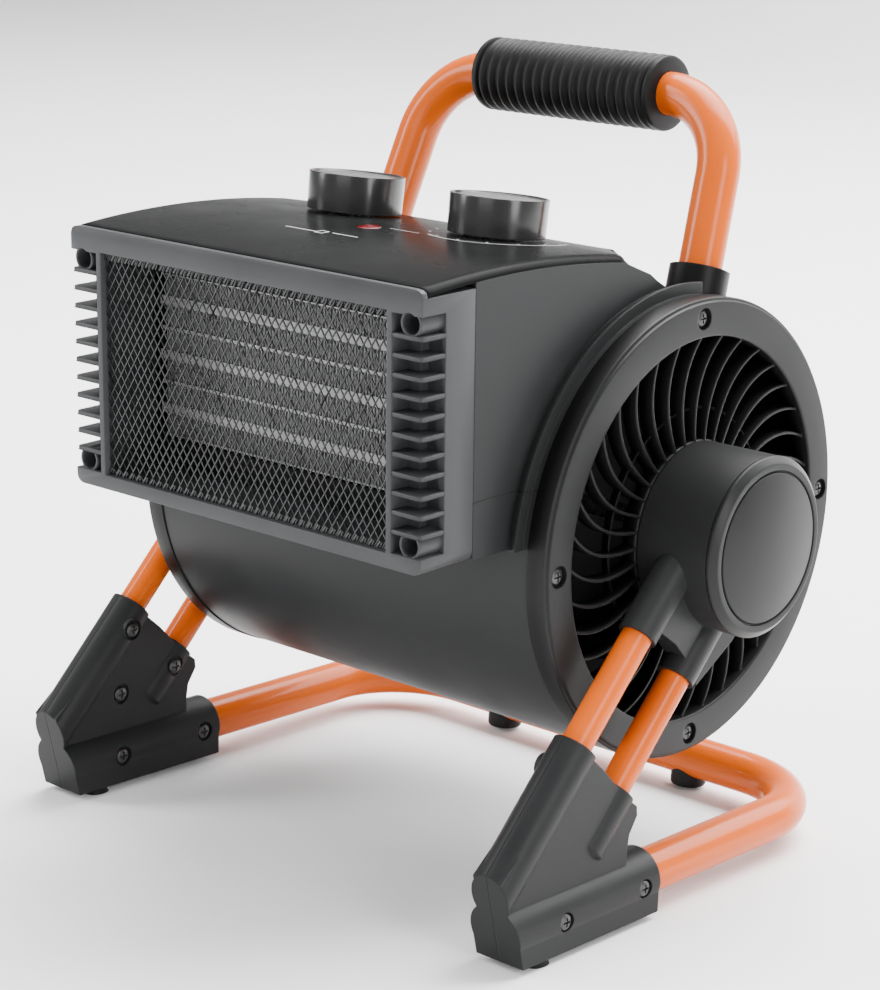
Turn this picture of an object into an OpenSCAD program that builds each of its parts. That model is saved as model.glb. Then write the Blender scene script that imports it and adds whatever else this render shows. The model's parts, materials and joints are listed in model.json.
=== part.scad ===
/* [Drum] */
// Outer radius of the barrel that holds the fan
drum_r = 96.5; // [90:0.5:110]
// Half length of the barrel between its two end grilles
drum_half = 105; // [95:1:125]
// Wall of the moulded housings
wall = 2.5; // [1.5:0.1:4]
// Height of the split between upper and lower housing, above the tilt axis
split_z = 33; // [20:1:45]
// How far the nose is tipped down as the heater stands
head_tilt = 2.3; // [0:0.1:10]

/* [Outlet] */
// Half width of the outlet duct and its bezel
duct_half = 98; // [85:1:110]
// Distance of the bezel's front face from the tilt axis
front_y = 150; // [130:1:180]
// Depth of the bezel
bezel_depth = 29.5; // [20:0.5:45]
// Height of the duct's bottom face above the tilt axis
duct_bottom = 10; // [2:0.5:20]
// Height of the bezel's top edge above the tilt axis
duct_top = 119.5; // [110:0.5:135]
// Width of the air window
window_w = 160; // [130:1:180]
// Height of the air window
window_h = 94; // [70:1:100]
// Height of the bezel's bottom bar
bottom_bar = 6; // [4:0.5:12]
// Number of cooling fins on each bezel column
fin_count = 11; // [5:1:14]
// Spacing of the column fins
fin_pitch = 7.6; // [5:0.1:9]
// Thickness of one column fin
fin_t = 1.8; // [1:0.1:3]
// Depth of the pockets behind the column fins
fin_depth = 9; // [4:0.5:14]

/* [Heater element] */
// Length of the ceramic heating bars
bar_len = 156; // [120:1:170]
// Number of heating bars
bar_count = 3; // [2:1:4]
// Spacing of the heating bars
bar_pitch = 23.2; // [18:0.1:30]
// Height of one heating bar
bar_h = 4; // [2.5:0.1:6]
// Depth of the heating bars along the air flow
bar_depth = 14; // [8:1:20]
// Distance from the front face back to the element
element_back = 32; // [24:1:45]

/* [Controls] */
// Height of the panel's crown between its front and rear edges
panel_crown = 5; // [1:0.5:7]
// Drop of the panel's rear edge below its front edge
panel_drop = 5.6; // [0:0.1:8]
// Thickness of the panel
panel_t = 3; // [2:0.1:5]
// Distance of the panel's rear edge in front of the tilt axis
panel_rear = 12; // [5:1:20]
// Distance of the duct sides' rear corners in front of the tilt axis
side_rear = 31; // [25:1:36]
// Radius of the two knobs
knob_r = 20.5; // [14:0.5:26]
// Height of the two knobs
knob_h = 16; // [10:0.5:25]
// Distance of each knob from the middle
knob_x = 40; // [30:1:60]
// Distance of the knobs in front of the tilt axis
knob_y = 42; // [30:1:70]
// Radius of the indicator lens
lens_r = 5; // [2:0.5:8]
// Distance of the indicator lens in front of the tilt axis
lens_y = 75; // [65:1:100]

/* [Intake grilles] */
// Step of the grille's rim out from the barrel
rim_step = 0.5; // [0:0.1:3]
// Width of the grille's flat rim
rim_w = 16; // [12:0.5:24]
// Length of the grille's rim beyond the barrel
rim_len = 10.5; // [6:0.5:20]
// Number of swirl ribs
rib_count = 36; // [18:1:48]
// Thickness of a swirl rib
rib_t = 1.4; // [0.8:0.1:2.5]
// Depth of a swirl rib
rib_depth = 7; // [4:0.5:12]
// Swirl angle of a rib from hub to rim
rib_swirl = 12; // [0:1:30]
// Sideways bow of a rib, as an angle
rib_bow = 9; // [0:1:20]
// Radius of the grille's closed hub
hub_r = 38; // [30:0.5:45]

/* [Handle] */
// Radius of the handle's tube
handle_r = 9.3; // [7:0.1:12]
// Distance of the handle's top from the tilt axis
handle_top = 178.5; // [150:0.5:210]
// Angle round the barrel from its top to the handle's feet
handle_seat = 17.3; // [10:0.1:25]
// Lean of the handle behind the vertical of the head
handle_lean = 21.5; // [5:0.1:30]
// Inward lean of the handle's legs
leg_lean = 5; // [1:0.5:12]
// Bend radius of the handle's corners
handle_bend = 35.3; // [22:0.1:50]
// Half length of the straight grip stretch
grip_half = 49.7; // [40:0.1:70]
// Outer radius of the rubber grip
grip_r = 16.3; // [12:0.1:20]
// Radius of the collars at the handle's feet
collar_r = 12.8; // [11:0.1:16]
// Height of the collars' tops above the barrel
collar_h = 10; // [5:0.5:20]

/* [Stand] */
// Height of the tilt axis above the floor
axis_h = 150; // [135:1:190]
// Distance of the strut plane beyond the grille's rim
strut_gap = 13.8; // [11:0.1:24]
// Radius of the struts' tube
strut_r = 6.4; // [5:0.1:9]
// Slope of the struts from the horizontal
strut_slope = 46.5; // [40:0.5:55]
// Distance of the front strut's line in front of the tilt axis, at its height
front_strut_y = 25.8; // [18:0.1:32]
// Distance of the rear strut's line behind the tilt axis, at its height
rear_strut_y = 22.9; // [15:0.1:30]
// Radius of the base tube
base_r = 9.5; // [7:0.1:12]
// Height of the base tube's axis above the floor
base_h = 15.5; // [14:0.1:25]
// Distance of the rear cross tube behind the tilt axis
base_rear = 88; // [70:1:110]
// Bend radius of the base tube's corners
base_bend = 42; // [30:1:60]
// Wall of the steel tubes
tube_wall = 1.5; // [1:0.1:2.5]
// Height of the rubber and plastic feet below the brackets
foot_drop = 3; // [2:0.5:6]

/* [Foot brackets] */
// Width of a foot bracket
bracket_w = 23.8; // [22:0.2:32]
// Distance of the bracket's lower front edge in front of the tilt axis
bracket_front = 131; // [120:1:150]
// Forward lean of the bracket's front face over its height
front_lean = 12; // [0:1:16]
// Distance of the bracket's rear face in front of the tilt axis
bracket_rear = 46.5; // [35:0.5:60]
// Radius of the channels that hold the struts
channel_r = 9.2; // [8:0.1:12]
// Height of the front channel's mouth below the tilt axis
front_mouth = 69; // [60:1:80]
// Height of the rear channel's mouth below the tilt axis
rear_mouth = 93; // [85:1:105]
// Thickness of the web between the channels
web_t = 14; // [8:0.5:20]

/* [Pivots] */
// Radius of the pivot arm's drum
arm_r = 37.5; // [30:0.5:45]
// Length of the pivot arm's drum
arm_len = 34; // [28:0.5:45]
// Radius of the sockets that hold the struts
socket_r = 8.2; // [7.5:0.1:11]
// Radius of the domed middle of the end cap
dome_r = 31; // [22:0.5:36]
// Height of the dome above the end cap
dome_h = 3.5; // [2:0.5:8]
// Radius of the pivot bolts
bolt_r = 6; // [4:0.5:8]

/* [Fan] */
// Radius of the fan wheels
wheel_r = 72; // [55:1:80]
// Width of one fan wheel
wheel_w = 36; // [20:1:45]
// Number of blades on one fan wheel
blade_count = 24; // [12:1:36]
// Radius of the motor
motor_r = 36; // [25:1:42]
// Half length of the motor
motor_half = 34; // [20:1:40]

/* [Fits] */
// Gap between parts that are fixed together
joint_gap = 0.1; // [0.05:0.05:0.3]
// Radial clearance of a shaft in its bearing
running_gap = 0.05; // [0.02:0.01:0.1]
// Gap between faces that move past each other
moving_gap = 0.5; // [0.35:0.05:1]

/* [Hidden] */
$fn = 64;
front_reach = front_y * cos(head_tilt) + duct_top * sin(head_tilt);
gland_angle = 68;
gland_len = 10;
gland_r = 8;
gland_tip_r = 6.5;
gland_reach = (drum_r + gland_len) * sin(gland_angle - head_tilt) + gland_tip_r * cos(gland_angle - head_tilt);
rear_reach = max(gland_reach, base_rear + base_r);
origin_y = (front_reach - rear_reach) / 2;
rim_r = drum_r + rim_step;
rim_inner = rim_r - rim_w;
rim_x = drum_half + rim_len;
strut_x = rim_x + strut_gap;
bezel_y = front_y - bezel_depth;
window_low = duct_bottom + bottom_bar;
window_mid = window_low + window_h / 2;
element_y = front_y - element_back;
element_mid = window_mid;
knob_lean = -atan(crown_slope(knob_y));
arm_x = rim_x - 2;
cap_x = arm_x + arm_len;
base_z = base_h - axis_h;
foot_z = foot_drop - axis_h;
cap_t = 4;
groove_w = 1;
bolt_head_r = 10;
bolt_head_t = 6;
arm_floor = 12;
screw_head_r = 3.5;
screw_head_t = 1.8;
screw_shank_r = 1.7;
recess_r = 4.6;
outer_recess_r = 4;
bezel_hole_r = 4.2;
grille_screw_r = (rim_r + rim_inner) / 2;
column_screw_x = duct_half - 6.7;
bezel_seat = -front_y + fin_depth + 7;
column_screw_z = [window_low + 4.8, window_low + window_h - 3.8];
lip_h = 5;
panel_side = 5;
panel_rear_half = duct_half - 21;
guard_tuck = 1.5;
guard_back = 3.2;
guard_t = 0.8;
weld = 0.6;
swell = 0.15;
shaft_r = 4;
spindle_r = 3;
bush_r = 10;
bush_back = 18;
collar_x = leg_x(drum_r);
base_screws = [[-106, base_z], [-56, base_z]];
lug = strut_at(-front_strut_y, 77);
rear_clamp = strut_at(rear_strut_y, 100);
web_clamp = [-103, -107];
inner_screws = concat(base_screws, [lug, rear_clamp, web_clamp]);
lug_r = 5;
front_low = 113;
rear_low = 111;
rear_end = 113;
bracket_top = -104;
front_top = 12;
rear_top = 36;
pad_half = 5;
pad_y = -117;
pad_r = 5.5;
rear_foot_x = 56;
rear_foot_r = 8.8;

// ---- Helpers ----

// Distance of a handle leg from the middle, at a height along the handle's plane
function leg_x(h) = grip_half + handle_bend * cos(leg_lean)
    + (handle_top - handle_bend * (1 - sin(leg_lean)) - h) * tan(leg_lean);
// Share of the way from the panel's front edge to its rear edge
function crown_t(y) = (front_y - y) / (front_y - panel_rear);
// Height of the panel's crowned top at a distance in front of the axis
function crown_z(y) = duct_top + panel_crown * 4 * crown_t(y) * (1 - crown_t(y)) - panel_drop * crown_t(y);
// Rise of the panel's top per millimetre rearwards
function crown_slope(y) = (panel_crown * 4 * (1 - 2 * crown_t(y)) - panel_drop) / (front_y - panel_rear);
// Outline with round ends, in 15 degree steps
function stadium(half, r) = concat([for (a = [-90:15:90]) [half + r * cos(a), r * sin(a)]],
    [for (a = [90:15:270]) [-half + r * cos(a), r * sin(a)]]);
// Where a strut's line is, as [y, z], at a depth below the axis
function strut_at(y, depth) = [y - depth / tan(strut_slope), -depth];

// Stand parts: the origin is the tilt axis
module on_axis() {
    translate([0, origin_y, axis_h]) children();
}
// Head parts, in the head's own frame
module on_head() {
    on_axis() rotate([head_tilt, 0, 0]) children();
}
module mirror_x() {
    mirror([1, 0, 0]) children();
}
// The same moulding turned end for end
module turn_end() {
    rotate([0, 0, 180]) children();
}
// Extrude a [y, z] outline along X, from x0 to x1
module along_x(x0, x1) {
    translate([x0, 0, 0]) rotate([90, 0, 90]) linear_extrude(x1 - x0) children();
}
// Cylinder along X from x0 to x1
module rod_x(x0, x1, r, y = 0, z = 0) {
    translate([x0, y, z]) rotate([0, 90, 0]) cylinder(h = x1 - x0, r = r);
}
module box(low, high) {
    translate(low) cube(high - low);
}
// Screw with its head's top at the origin, driven along -Z
module screw(shank) {
    translate([0, 0, -screw_head_t]) cylinder(h = screw_head_t, r1 = screw_head_r, r2 = screw_head_r - 0.8);
    translate([0, 0, -screw_head_t - shank]) cylinder(h = shank + 0.5, r = screw_shank_r);
}

// ---- Housings ----

// Side view of the barrel and the duct, shrunk by an inset
module head_outline(inset = 0) {
    steps = 8;
    top = panel_t + joint_gap;
    circle(r = drum_r - inset, $fn = 128);
    polygon(concat(
        [[-bezel_y, duct_bottom + inset], [-bezel_y, crown_z(bezel_y) - top - inset]],
        [for (i = [1:steps]) let (y = bezel_y + (side_rear - bezel_y) * i / steps)
            [-y, crown_z(y) - top - inset]],
        [[-14, drum_r + 10.5 - inset], [-9, drum_r + 7 - inset], [3, drum_r - inset], [3, 0],
         [-60, duct_bottom + inset]]
    ));
}
// Side view of the middle of the head's top, as far as the slope behind the panel
module crest_outline(inset = 0) {
    steps = 4;
    top = panel_t + joint_gap;
    polygon(concat(
        [for (i = [0:steps]) let (y = side_rear + 10 + (panel_rear - side_rear - 10) * i / steps)
            [-y, crown_z(y) - top - inset]],
        [[-panel_rear + joint_gap, crown_z(panel_rear) - top - inset],
         [-panel_rear + joint_gap, crown_z(panel_rear) - inset],
         [21, drum_r - 2.4 - inset], [10, 60], [-side_rear - 10, 60]]
    ));
}
// Plan of the head's top, with its rear corners cut back, shrunk by an inset
module top_plan(inset = 0) {
    x0 = duct_half - inset;
    x1 = panel_rear_half - inset;
    polygon([[-x0, -front_y], [x0, -front_y], [x0, -side_rear], [x1, -panel_rear],
             [-x1, -panel_rear], [-x0, -side_rear]]);
}
module crest_plan(inset = 0) {
    x0 = duct_half - inset;
    x1 = panel_rear_half - inset;
    polygon([[-x0, -60], [x0, -60], [x0, -side_rear], [x1, -panel_rear], [x1 - 6, 22],
             [-x1 + 6, 22], [-x1, -panel_rear], [-x0, -side_rear]]);
}
module crest(inset = 0) {
    intersection() {
        along_x(-duct_half + inset, duct_half - inset) crest_outline(inset);
        linear_extrude(2 * front_y) crest_plan(inset);
    }
}
module head_shell() {
    difference() {
        union() {
            along_x(-drum_half, drum_half) circle(r = drum_r, $fn = 128);
            along_x(-duct_half, duct_half) head_outline();
            crest();
            for (s = [-1, 1]) lip(s);
        }
        along_x(-drum_half - 1, drum_half + 1) circle(r = drum_r - wall, $fn = 128);
        along_x(-duct_half + wall, duct_half - wall) head_outline(wall);
        crest(wall);
        box([-duct_half + wall, -bezel_y - 1, duct_bottom + wall],
            [duct_half - wall, -bezel_y + 3, duct_top - panel_t - wall]);
    }
}
// Raised rim where the duct's side meets the barrel
module lip(s) {
    x0 = duct_half - 6;
    x1 = duct_half + 3.5;
    intersection() {
        rotate([0, s * 90, 0]) rotate_extrude($fn = 128)
            polygon([[drum_r - wall, x0], [drum_r + 0.5, x0], [drum_r + lip_h, x1],
                     [drum_r + lip_h, x1 + 1.2], [drum_r - wall, x1 + 1.2]]);
        box([-drum_half, -bezel_y, duct_bottom], [drum_half, 15, 2 * drum_r]);
    }
}
// Bosses inside the barrel's ends that take the grille screws
module grille_bosses() {
    for (s = [-1, 1], a = [0:90:270])
        difference() {
            intersection() {
                rotate([a, 0, 0]) rod_x(s > 0 ? drum_half - 12 : -drum_half,
                    s > 0 ? drum_half : -drum_half + 12, 5.2, 0, grille_screw_r);
                along_x(-drum_half, drum_half) circle(r = drum_r - wall / 2, $fn = 128);
            }
            rotate([a, 0, 0]) rod_x(-drum_half - 1, drum_half + 1,
                screw_shank_r + running_gap, 0, grille_screw_r);
        }
}
module lower_housing() {
    color("#3a3c3e") on_head() difference() {
        intersection() {
            union() {
                head_shell();
                grille_bosses();
            }
            box([-130, -200, -drum_r - 10], [130, 200, split_z - joint_gap]);
        }
        gland_hole();
    }
}
module upper_housing() {
    color("#3d3f41") on_head() difference() {
        intersection() {
            union() {
                head_shell();
                grille_bosses();
            }
            box([-130, -200, split_z], [130, 200, 200]);
        }
        for (x = [-knob_x, knob_x]) knob_frame(x) cylinder(h = 60, r = 14, center = true);
        translate([0, -lens_y, 90]) cylinder(h = 60, r = lens_r + 2);
        handle_frame() for (s = [-1, 1]) leg(s, handle_r + joint_gap);
        gland_hole();
    }
}
module control_panel() {
    steps = 10;
    ys = [for (i = [0:steps]) front_y - 3 + (panel_rear - front_y + 3) * i / steps];
    color("#242527") on_head() difference() {
        intersection() {
            linear_extrude(2 * front_y) top_plan();
            along_x(-duct_half, duct_half)
                polygon(concat([for (y = ys) [-y, crown_z(y)]],
                    [for (i = [steps:-1:0]) [-ys[i], crown_z(ys[i]) - panel_t]]));
            rotate([90, 0, 0]) linear_extrude(2 * front_y)
                polygon([[-duct_half, 0], [-duct_half, duct_top - 1.5],
                         [-duct_half + 1.2, duct_top + 0.6], [-duct_half + panel_side, duct_top + panel_crown + 1],
                         [duct_half - panel_side, duct_top + panel_crown + 1],
                         [duct_half - 1.2, duct_top + 0.6], [duct_half, duct_top - 1.5], [duct_half, 0]]);
        }
        for (x = [-knob_x, knob_x]) knob_frame(x) cylinder(h = 40, r = spindle_r + 1, center = true);
        translate([0, -lens_y, 100]) cylinder(h = 40, r = lens_r + joint_gap);
    }
}

// ---- Outlet ----

module outlet_bezel() {
    pocket_low = window_low + 0.5;
    pocket_high = window_low + window_h - 0.5;
    groove = window_w / 2 + guard_tuck + 0.2;
    color("#4a4d50") on_head() difference() {
        union() {
            difference() {
                intersection() {
                    box([-duct_half, -front_y, duct_bottom], [duct_half, -bezel_y - joint_gap, duct_top]);
                    rotate([90, 0, 0]) linear_extrude(2 * front_y) bezel_front();
                }
                box([-window_w / 2, -front_y - 1, window_low],
                    [window_w / 2, -bezel_y + 1, window_low + window_h]);
                box([-duct_half - 1, -front_y + 2.5, duct_top - panel_t - joint_gap],
                    [duct_half + 1, -bezel_y + 1, duct_top + 1]);
                for (s = [-1, 1]) {
                    box([s > 0 ? window_w / 2 + 2.6 : -duct_half - 1, -front_y - 1, pocket_low],
                        [s > 0 ? duct_half + 1 : -window_w / 2 - 2.6, -front_y + fin_depth, pocket_high]);
                    box([s > 0 ? duct_half - fin_depth : -duct_half - 1, -front_y - 1, pocket_low],
                        [s > 0 ? duct_half + 1 : -duct_half + fin_depth, -front_y + fin_depth + 4, pocket_high]);
                }
                box([-groove, -front_y + guard_back - guard_t - 0.4, window_low - 2.5],
                    [groove, -front_y + guard_back + 0.4, window_low + window_h + 2.5]);
            }
            for (s = [-1, 1], i = [0:fin_count - 1])
                translate([0, 0, window_mid + (i - (fin_count - 1) / 2) * fin_pitch]) column_fin(s);
            column_screws() cylinder(h = fin_depth + 6, r = bezel_hole_r + 1.2);
        }
        column_screws() {
            cylinder(h = fin_depth + 20, r = bezel_hole_r);
            translate([0, 0, -40]) cylinder(h = 50, r = screw_shank_r + running_gap);
        }
    }
}
// The bezel's four screw places, facing forwards
module column_screws() {
    for (s = [-1, 1], z = column_screw_z)
        translate([s * column_screw_x, bezel_seat, z]) rotate([90, 0, 0]) children();
}
module bezel_front() {
    r = 4;
    polygon([[-duct_half + r, duct_bottom], [duct_half - r, duct_bottom], [duct_half - 1, duct_bottom + 1.5],
             [duct_half, duct_bottom + r], [duct_half, duct_top - 3.1], [duct_half - 0.7, duct_top - 1.2],
             [duct_half - 2.2, duct_top - 0.3], [duct_half - 4.5, duct_top], [-duct_half + 4.5, duct_top],
             [-duct_half + 2.2, duct_top - 0.3], [-duct_half + 0.7, duct_top - 1.2],
             [-duct_half, duct_top - 3.1], [-duct_half, duct_bottom + r], [-duct_half + 1, duct_bottom + 1.5]]);
}
// One L-shaped fin that wraps the column's corner
module column_fin(s) {
    x0 = window_w / 2 + guard_tuck + 0.7;
    y1 = -front_y + fin_depth + 4.5;
    translate([0, 0, -fin_t / 2]) linear_extrude(fin_t)
        polygon([for (p = [[x0, -front_y + 0.3], [duct_half - 1.5, -front_y], [duct_half, -front_y + 1.5],
                           [duct_half, y1], [duct_half - fin_depth - 0.5, y1],
                           [duct_half - fin_depth - 0.5, -front_y + fin_depth + 0.5],
                           [x0, -front_y + fin_depth + 0.5]]) [p[0] * s, p[1]]]);
}
module bezel_screws() {
    color("#202020") on_head() column_screws() translate([0, 0, screw_head_t]) screw(8);
}
// Expanded steel mesh in a folded rim
module guard_mesh() {
    w = window_w + 2 * guard_tuck;
    h = window_h + 4;
    strips = 7;
    color("#6a6c70") on_head() translate([0, -front_y + guard_back, window_mid]) rotate([90, 0, 0])
        linear_extrude(guard_t) {
            difference() {
                square([w, h], center = true);
                square([w - 6, h - 6], center = true);
            }
            intersection() {
                square([w - 2, h - 2], center = true);
                for (s = [-1, 1], i = [-strips:strips])
                    translate([i * w / (2 * strips), 0]) rotate(s * 32) square([1.4, 3 * h], center = true);
            }
        }
}
module heater_frame() {
    h = bar_count * bar_pitch;
    color("#2b2c2e") on_head() difference() {
        box([-duct_half + wall + joint_gap, -element_y, duct_bottom + wall + joint_gap],
            [duct_half - wall - joint_gap, -element_y + bar_depth + 2, crown_z(bezel_y) - 2 * panel_t - wall]);
        box([-bar_len / 2 - 2, -element_y - 1, element_mid - h / 2 - 1],
            [bar_len / 2 + 2, -element_y + bar_depth + 3, element_mid + h / 2 + 1]);
    }
}
module heating_bars() {
    color("#c9cbcc") on_head() for (i = [0:bar_count - 1])
        translate([-bar_len / 2 - 2, -element_y + 0.5,
                   element_mid + (i - (bar_count - 1) / 2) * bar_pitch - bar_h / 2])
            cube([bar_len + 4, bar_depth, bar_h]);
}
// Aluminium fins either side of each bar, brazed between two thin sheets
module heater_fins() {
    row_h = (bar_pitch - bar_h) / 2 - 0.4;
    fins = 20;
    sheet_t = 0.6;
    fin_w = 1;
    color("#9a9c9e") on_head() for (i = [0:bar_count - 1], s = [-1, 1])
        translate([-bar_len / 2, -element_y + 1,
                   element_mid + (i - (bar_count - 1) / 2) * bar_pitch + s * (bar_h + row_h) / 2 - row_h / 2])
            difference() {
                cube([bar_len, bar_depth - 1, row_h]);
                for (k = [0:fins - 1])
                    translate([fin_w + k * (bar_len - fin_w) / fins, -1, sheet_t])
                        cube([(bar_len - fin_w) / fins - fin_w, bar_depth + 1, row_h - 2 * sheet_t]);
            }
}
module overheat_cutout() {
    color("#b8b090") on_head()
        translate([0, -element_y + bar_depth + 2.1, element_mid + bar_count * bar_pitch / 2 + 6])
        rotate([-90, 0, 0]) {
            cylinder(h = 3, r = 8);
            cylinder(h = 9, r = 6);
            for (s = [-1, 1]) translate([s * 4 - 0.5, -3, 8]) cube([1, 6, 7]);
        }
}
// Sheet guides that lead the fan's air to the element
module air_guide() {
    x1 = duct_half - wall - 1;
    ye = element_y - bar_depth - 3;
    top = element_mid + bar_count * bar_pitch / 2 - 6;
    color("#303133") on_head() along_x(-x1, x1) {
        polygon([[-ye, top], [-ye, top + 1.5], [-60, top - 4.3], [-30, top - 7.3], [-30, top - 8.8],
                 [-60, top - 5.8]]);
        polygon([[-ye, duct_bottom + 9], [-ye, duct_bottom + 10.5], [-78, 8], [-74, -20], [-75.5, -20],
                 [-79.5, 7]]);
    }
}

// ---- Controls ----

module indicator_lens() {
    color("#b01018") on_head() translate([0, -lens_y, crown_z(lens_y) - 8]) {
        cylinder(h = 8.6, r = lens_r);
        cylinder(h = 3, r = lens_r + 1.5);
    }
}
// A knob's own frame: on the panel's surface, square to it
module knob_frame(x) {
    translate([x, -knob_y, crown_z(knob_y)]) rotate([-knob_lean, 0, 0]) children();
}
// Round knob with a dished top and a spindle that reaches into its switch
module knob_at(x) {
    knob_frame(x) translate([0, 0, moving_gap + 0.2]) {
        difference() {
            cylinder(h = knob_h, r1 = knob_r - 0.3, r2 = knob_r);
            translate([0, 0, knob_h - 0.8]) cylinder(h = 3, r = knob_r - 1);
        }
        translate([0, 0, -20]) cylinder(h = 21, r = spindle_r);
    }
}
module thermostat_knob() {
    color("#1d1e20") on_head() knob_at(knob_x);
}
module selector_knob() {
    color("#1d1e20") on_head() knob_at(-knob_x);
}
module switch_body(x, size) {
    top = -panel_t - wall - 5;
    knob_frame(x) difference() {
        union() {
            box([-size[0] / 2, -size[1] / 2, top - size[2]], [size[0] / 2, size[1] / 2, top]);
            translate([0, 0, top - 1]) cylinder(h = 6, r = spindle_r + 3);
        }
        translate([0, 0, top - size[2] - 1]) cylinder(h = size[2] + 10, r = spindle_r + running_gap);
    }
}
module thermostat_body() {
    color("#c8b98a") on_head() switch_body(knob_x, [32, 26, 14]);
}
module selector_switch() {
    color("#e6e2d6") on_head() switch_body(-knob_x, [26, 26, 14]);
}
module terminal_block() {
    color("#ece9df") on_head() translate([-8, -72, 92]) difference() {
        cube([16, 30, 10]);
        for (i = [0:2]) translate([8, 5 + i * 10, 5]) cylinder(h = 6, r = 2.4);
    }
}
module gland_place() {
    rotate([-gland_angle, 0, 0]) translate([0, 0, drum_r]) children();
}
module gland_hole() {
    gland_place() cylinder(h = 20, r = gland_r + joint_gap, center = true);
}
module cord_gland() {
    color("#1a1a1a") on_head() gland_place() difference() {
        union() {
            translate([0, 0, -6]) cylinder(h = 12, r = gland_r);
            translate([0, 0, 1]) cylinder(h = 5, r = 10.5, $fn = 6);
            translate([0, 0, gland_len - 5]) cylinder(h = 5, r1 = 8.5, r2 = gland_tip_r);
        }
        translate([0, 0, -7]) cylinder(h = 20, r = 3.6);
    }
}

// ---- Intake grilles ----

// Angle of a rib's centre line at a share t of the way from hub to rim
function rib_angle(t) = -rib_swirl * t + rib_bow * 4 * t * (1 - t) / 2;
module rib() {
    n = 4;
    r0 = hub_r - 1;
    r1 = rim_inner + 1;
    pts = [for (i = [0:n]) let (t = i / n, r = r0 + (r1 - r0) * t, a = rib_angle(t)) [r, a]];
    polygon(concat(
        [for (p = pts) [p[0] * cos(p[1]) + rib_t / 2 * sin(p[1]), p[0] * sin(p[1]) - rib_t / 2 * cos(p[1])]],
        [for (i = [n:-1:0]) let (p = pts[i])
            [p[0] * cos(p[1]) - rib_t / 2 * sin(p[1]), p[0] * sin(p[1]) + rib_t / 2 * cos(p[1])]]));
}
module intake_grille() {
    rib_x = drum_half + 1;
    difference() {
        union() {
            difference() {
                rod_x(drum_half + joint_gap, rim_x, rim_r, $fn = 128);
                rod_x(drum_half - 1, rim_x - 3, rim_r - wall, $fn = 128);
                rod_x(drum_half - 1, rim_x + 1, rim_inner, $fn = 128);
            }
            for (a = [0:90:270]) rotate([a, 0, 0])
                rod_x(drum_half + joint_gap, rim_x - 1, recess_r + 1.2, 0, grille_screw_r);
            along_x(rib_x, rib_x + rib_depth)
                for (i = [0:rib_count - 1]) rotate(i * 360 / rib_count) rib();
            rod_x(rib_x, arm_x - moving_gap, hub_r);
            rod_x(arm_x - moving_gap - bush_back, rib_x + 1, bush_r + 4);
        }
        rod_x(arm_x - bush_back - 2, arm_x + 1, bush_r + joint_gap / 2);
        for (a = [0:90:270]) rotate([a, 0, 0]) {
            rod_x(rim_x - 2.6, rim_x + 1, recess_r, 0, grille_screw_r);
            rod_x(drum_half - 1, rim_x, screw_shank_r + running_gap, 0, grille_screw_r);
        }
    }
}
module intake_grille_right() {
    color("#2c2d2f") on_head() intake_grille();
}
module intake_grille_left() {
    color("#2c2d2f") on_head() turn_end() intake_grille();
}
module grille_screws() {
    for (a = [0:90:270]) rotate([a, 0, 0])
        translate([rim_x - 2.6 + screw_head_t, 0, grille_screw_r]) rotate([0, 90, 0]) screw(14);
}
module grille_screws_right() {
    color("#303030") on_head() grille_screws();
}
module grille_screws_left() {
    color("#303030") on_head() turn_end() grille_screws();
}
module pivot_bush() {
    difference() {
        rod_x(arm_x - moving_gap - bush_back, arm_x - moving_gap, bush_r);
        rod_x(arm_x - bush_back - 2, arm_x + 1, bolt_r + running_gap);
    }
}
module pivot_bush_right() {
    color("#b59a5a") on_head() pivot_bush();
}
module pivot_bush_left() {
    color("#b59a5a") on_head() turn_end() pivot_bush();
}

// ---- Handle ----

module handle_frame() {
    rotate([-handle_seat, 0, 0]) translate([0, 0, drum_r])
        rotate([handle_seat - handle_lean, 0, 0]) translate([0, 0, -drum_r]) children();
}
// A handle leg, from inside the barrel up to its bend
module leg(s, r) {
    rise = handle_top - handle_bend * (1 - sin(leg_lean));
    low = drum_r - 9;
    translate([s * leg_x(low), 0, low]) rotate([0, -s * leg_lean, 0])
        cylinder(h = (rise - low) / cos(leg_lean) + weld, r = r);
}
module handle_solid(r) {
    for (s = [-1, 1]) {
        leg(s, r);
        translate([s * grip_half, 0, handle_top - handle_bend]) rotate([90, 0, 0])
            rotate(s > 0 ? leg_lean : 90)
                rotate_extrude(angle = 90 - leg_lean) translate([handle_bend, 0]) circle(r = r + swell);
    }
    rod_x(-grip_half - weld, grip_half + weld, r, 0, handle_top);
}
module handle_tube() {
    color("#f07020") on_head() handle_frame() difference() {
        handle_solid(handle_r);
        handle_solid(handle_r - tube_wall);
    }
}
module handle_grip() {
    ribs = 18;
    pitch = (2 * grip_half - 6) / ribs;
    color("#1c1c1d") on_head() handle_frame() translate([-grip_half + 0.2, 0, handle_top]) rotate([0, 90, 0])
        rotate_extrude() polygon(concat(
            [[handle_r + joint_gap, 0], [grip_r - 1, 0], [grip_r, 1], [grip_r, 3]],
            [for (i = [0:ribs - 1], p = [[0.1, -1.4], [0.3, -1.4], [0.5, 0], [0.85, 0]])
                [grip_r + p[1], 3 + (i + p[0]) * pitch]],
            [[grip_r, 2 * grip_half - 3], [grip_r, 2 * grip_half - 1.4], [grip_r - 1, 2 * grip_half - 0.4],
             [handle_r + joint_gap, 2 * grip_half - 0.4]]));
}
module handle_collar(s) {
    difference() {
        handle_frame() translate([s * collar_x, 0, drum_r]) rotate([0, -s * leg_lean, 0])
            translate([0, 0, -8]) cylinder(h = 8 + collar_h, r = collar_r);
        along_x(-drum_half, drum_half) circle(r = drum_r + joint_gap, $fn = 128);
        handle_frame() leg(s, handle_r + joint_gap);
    }
}
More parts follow.
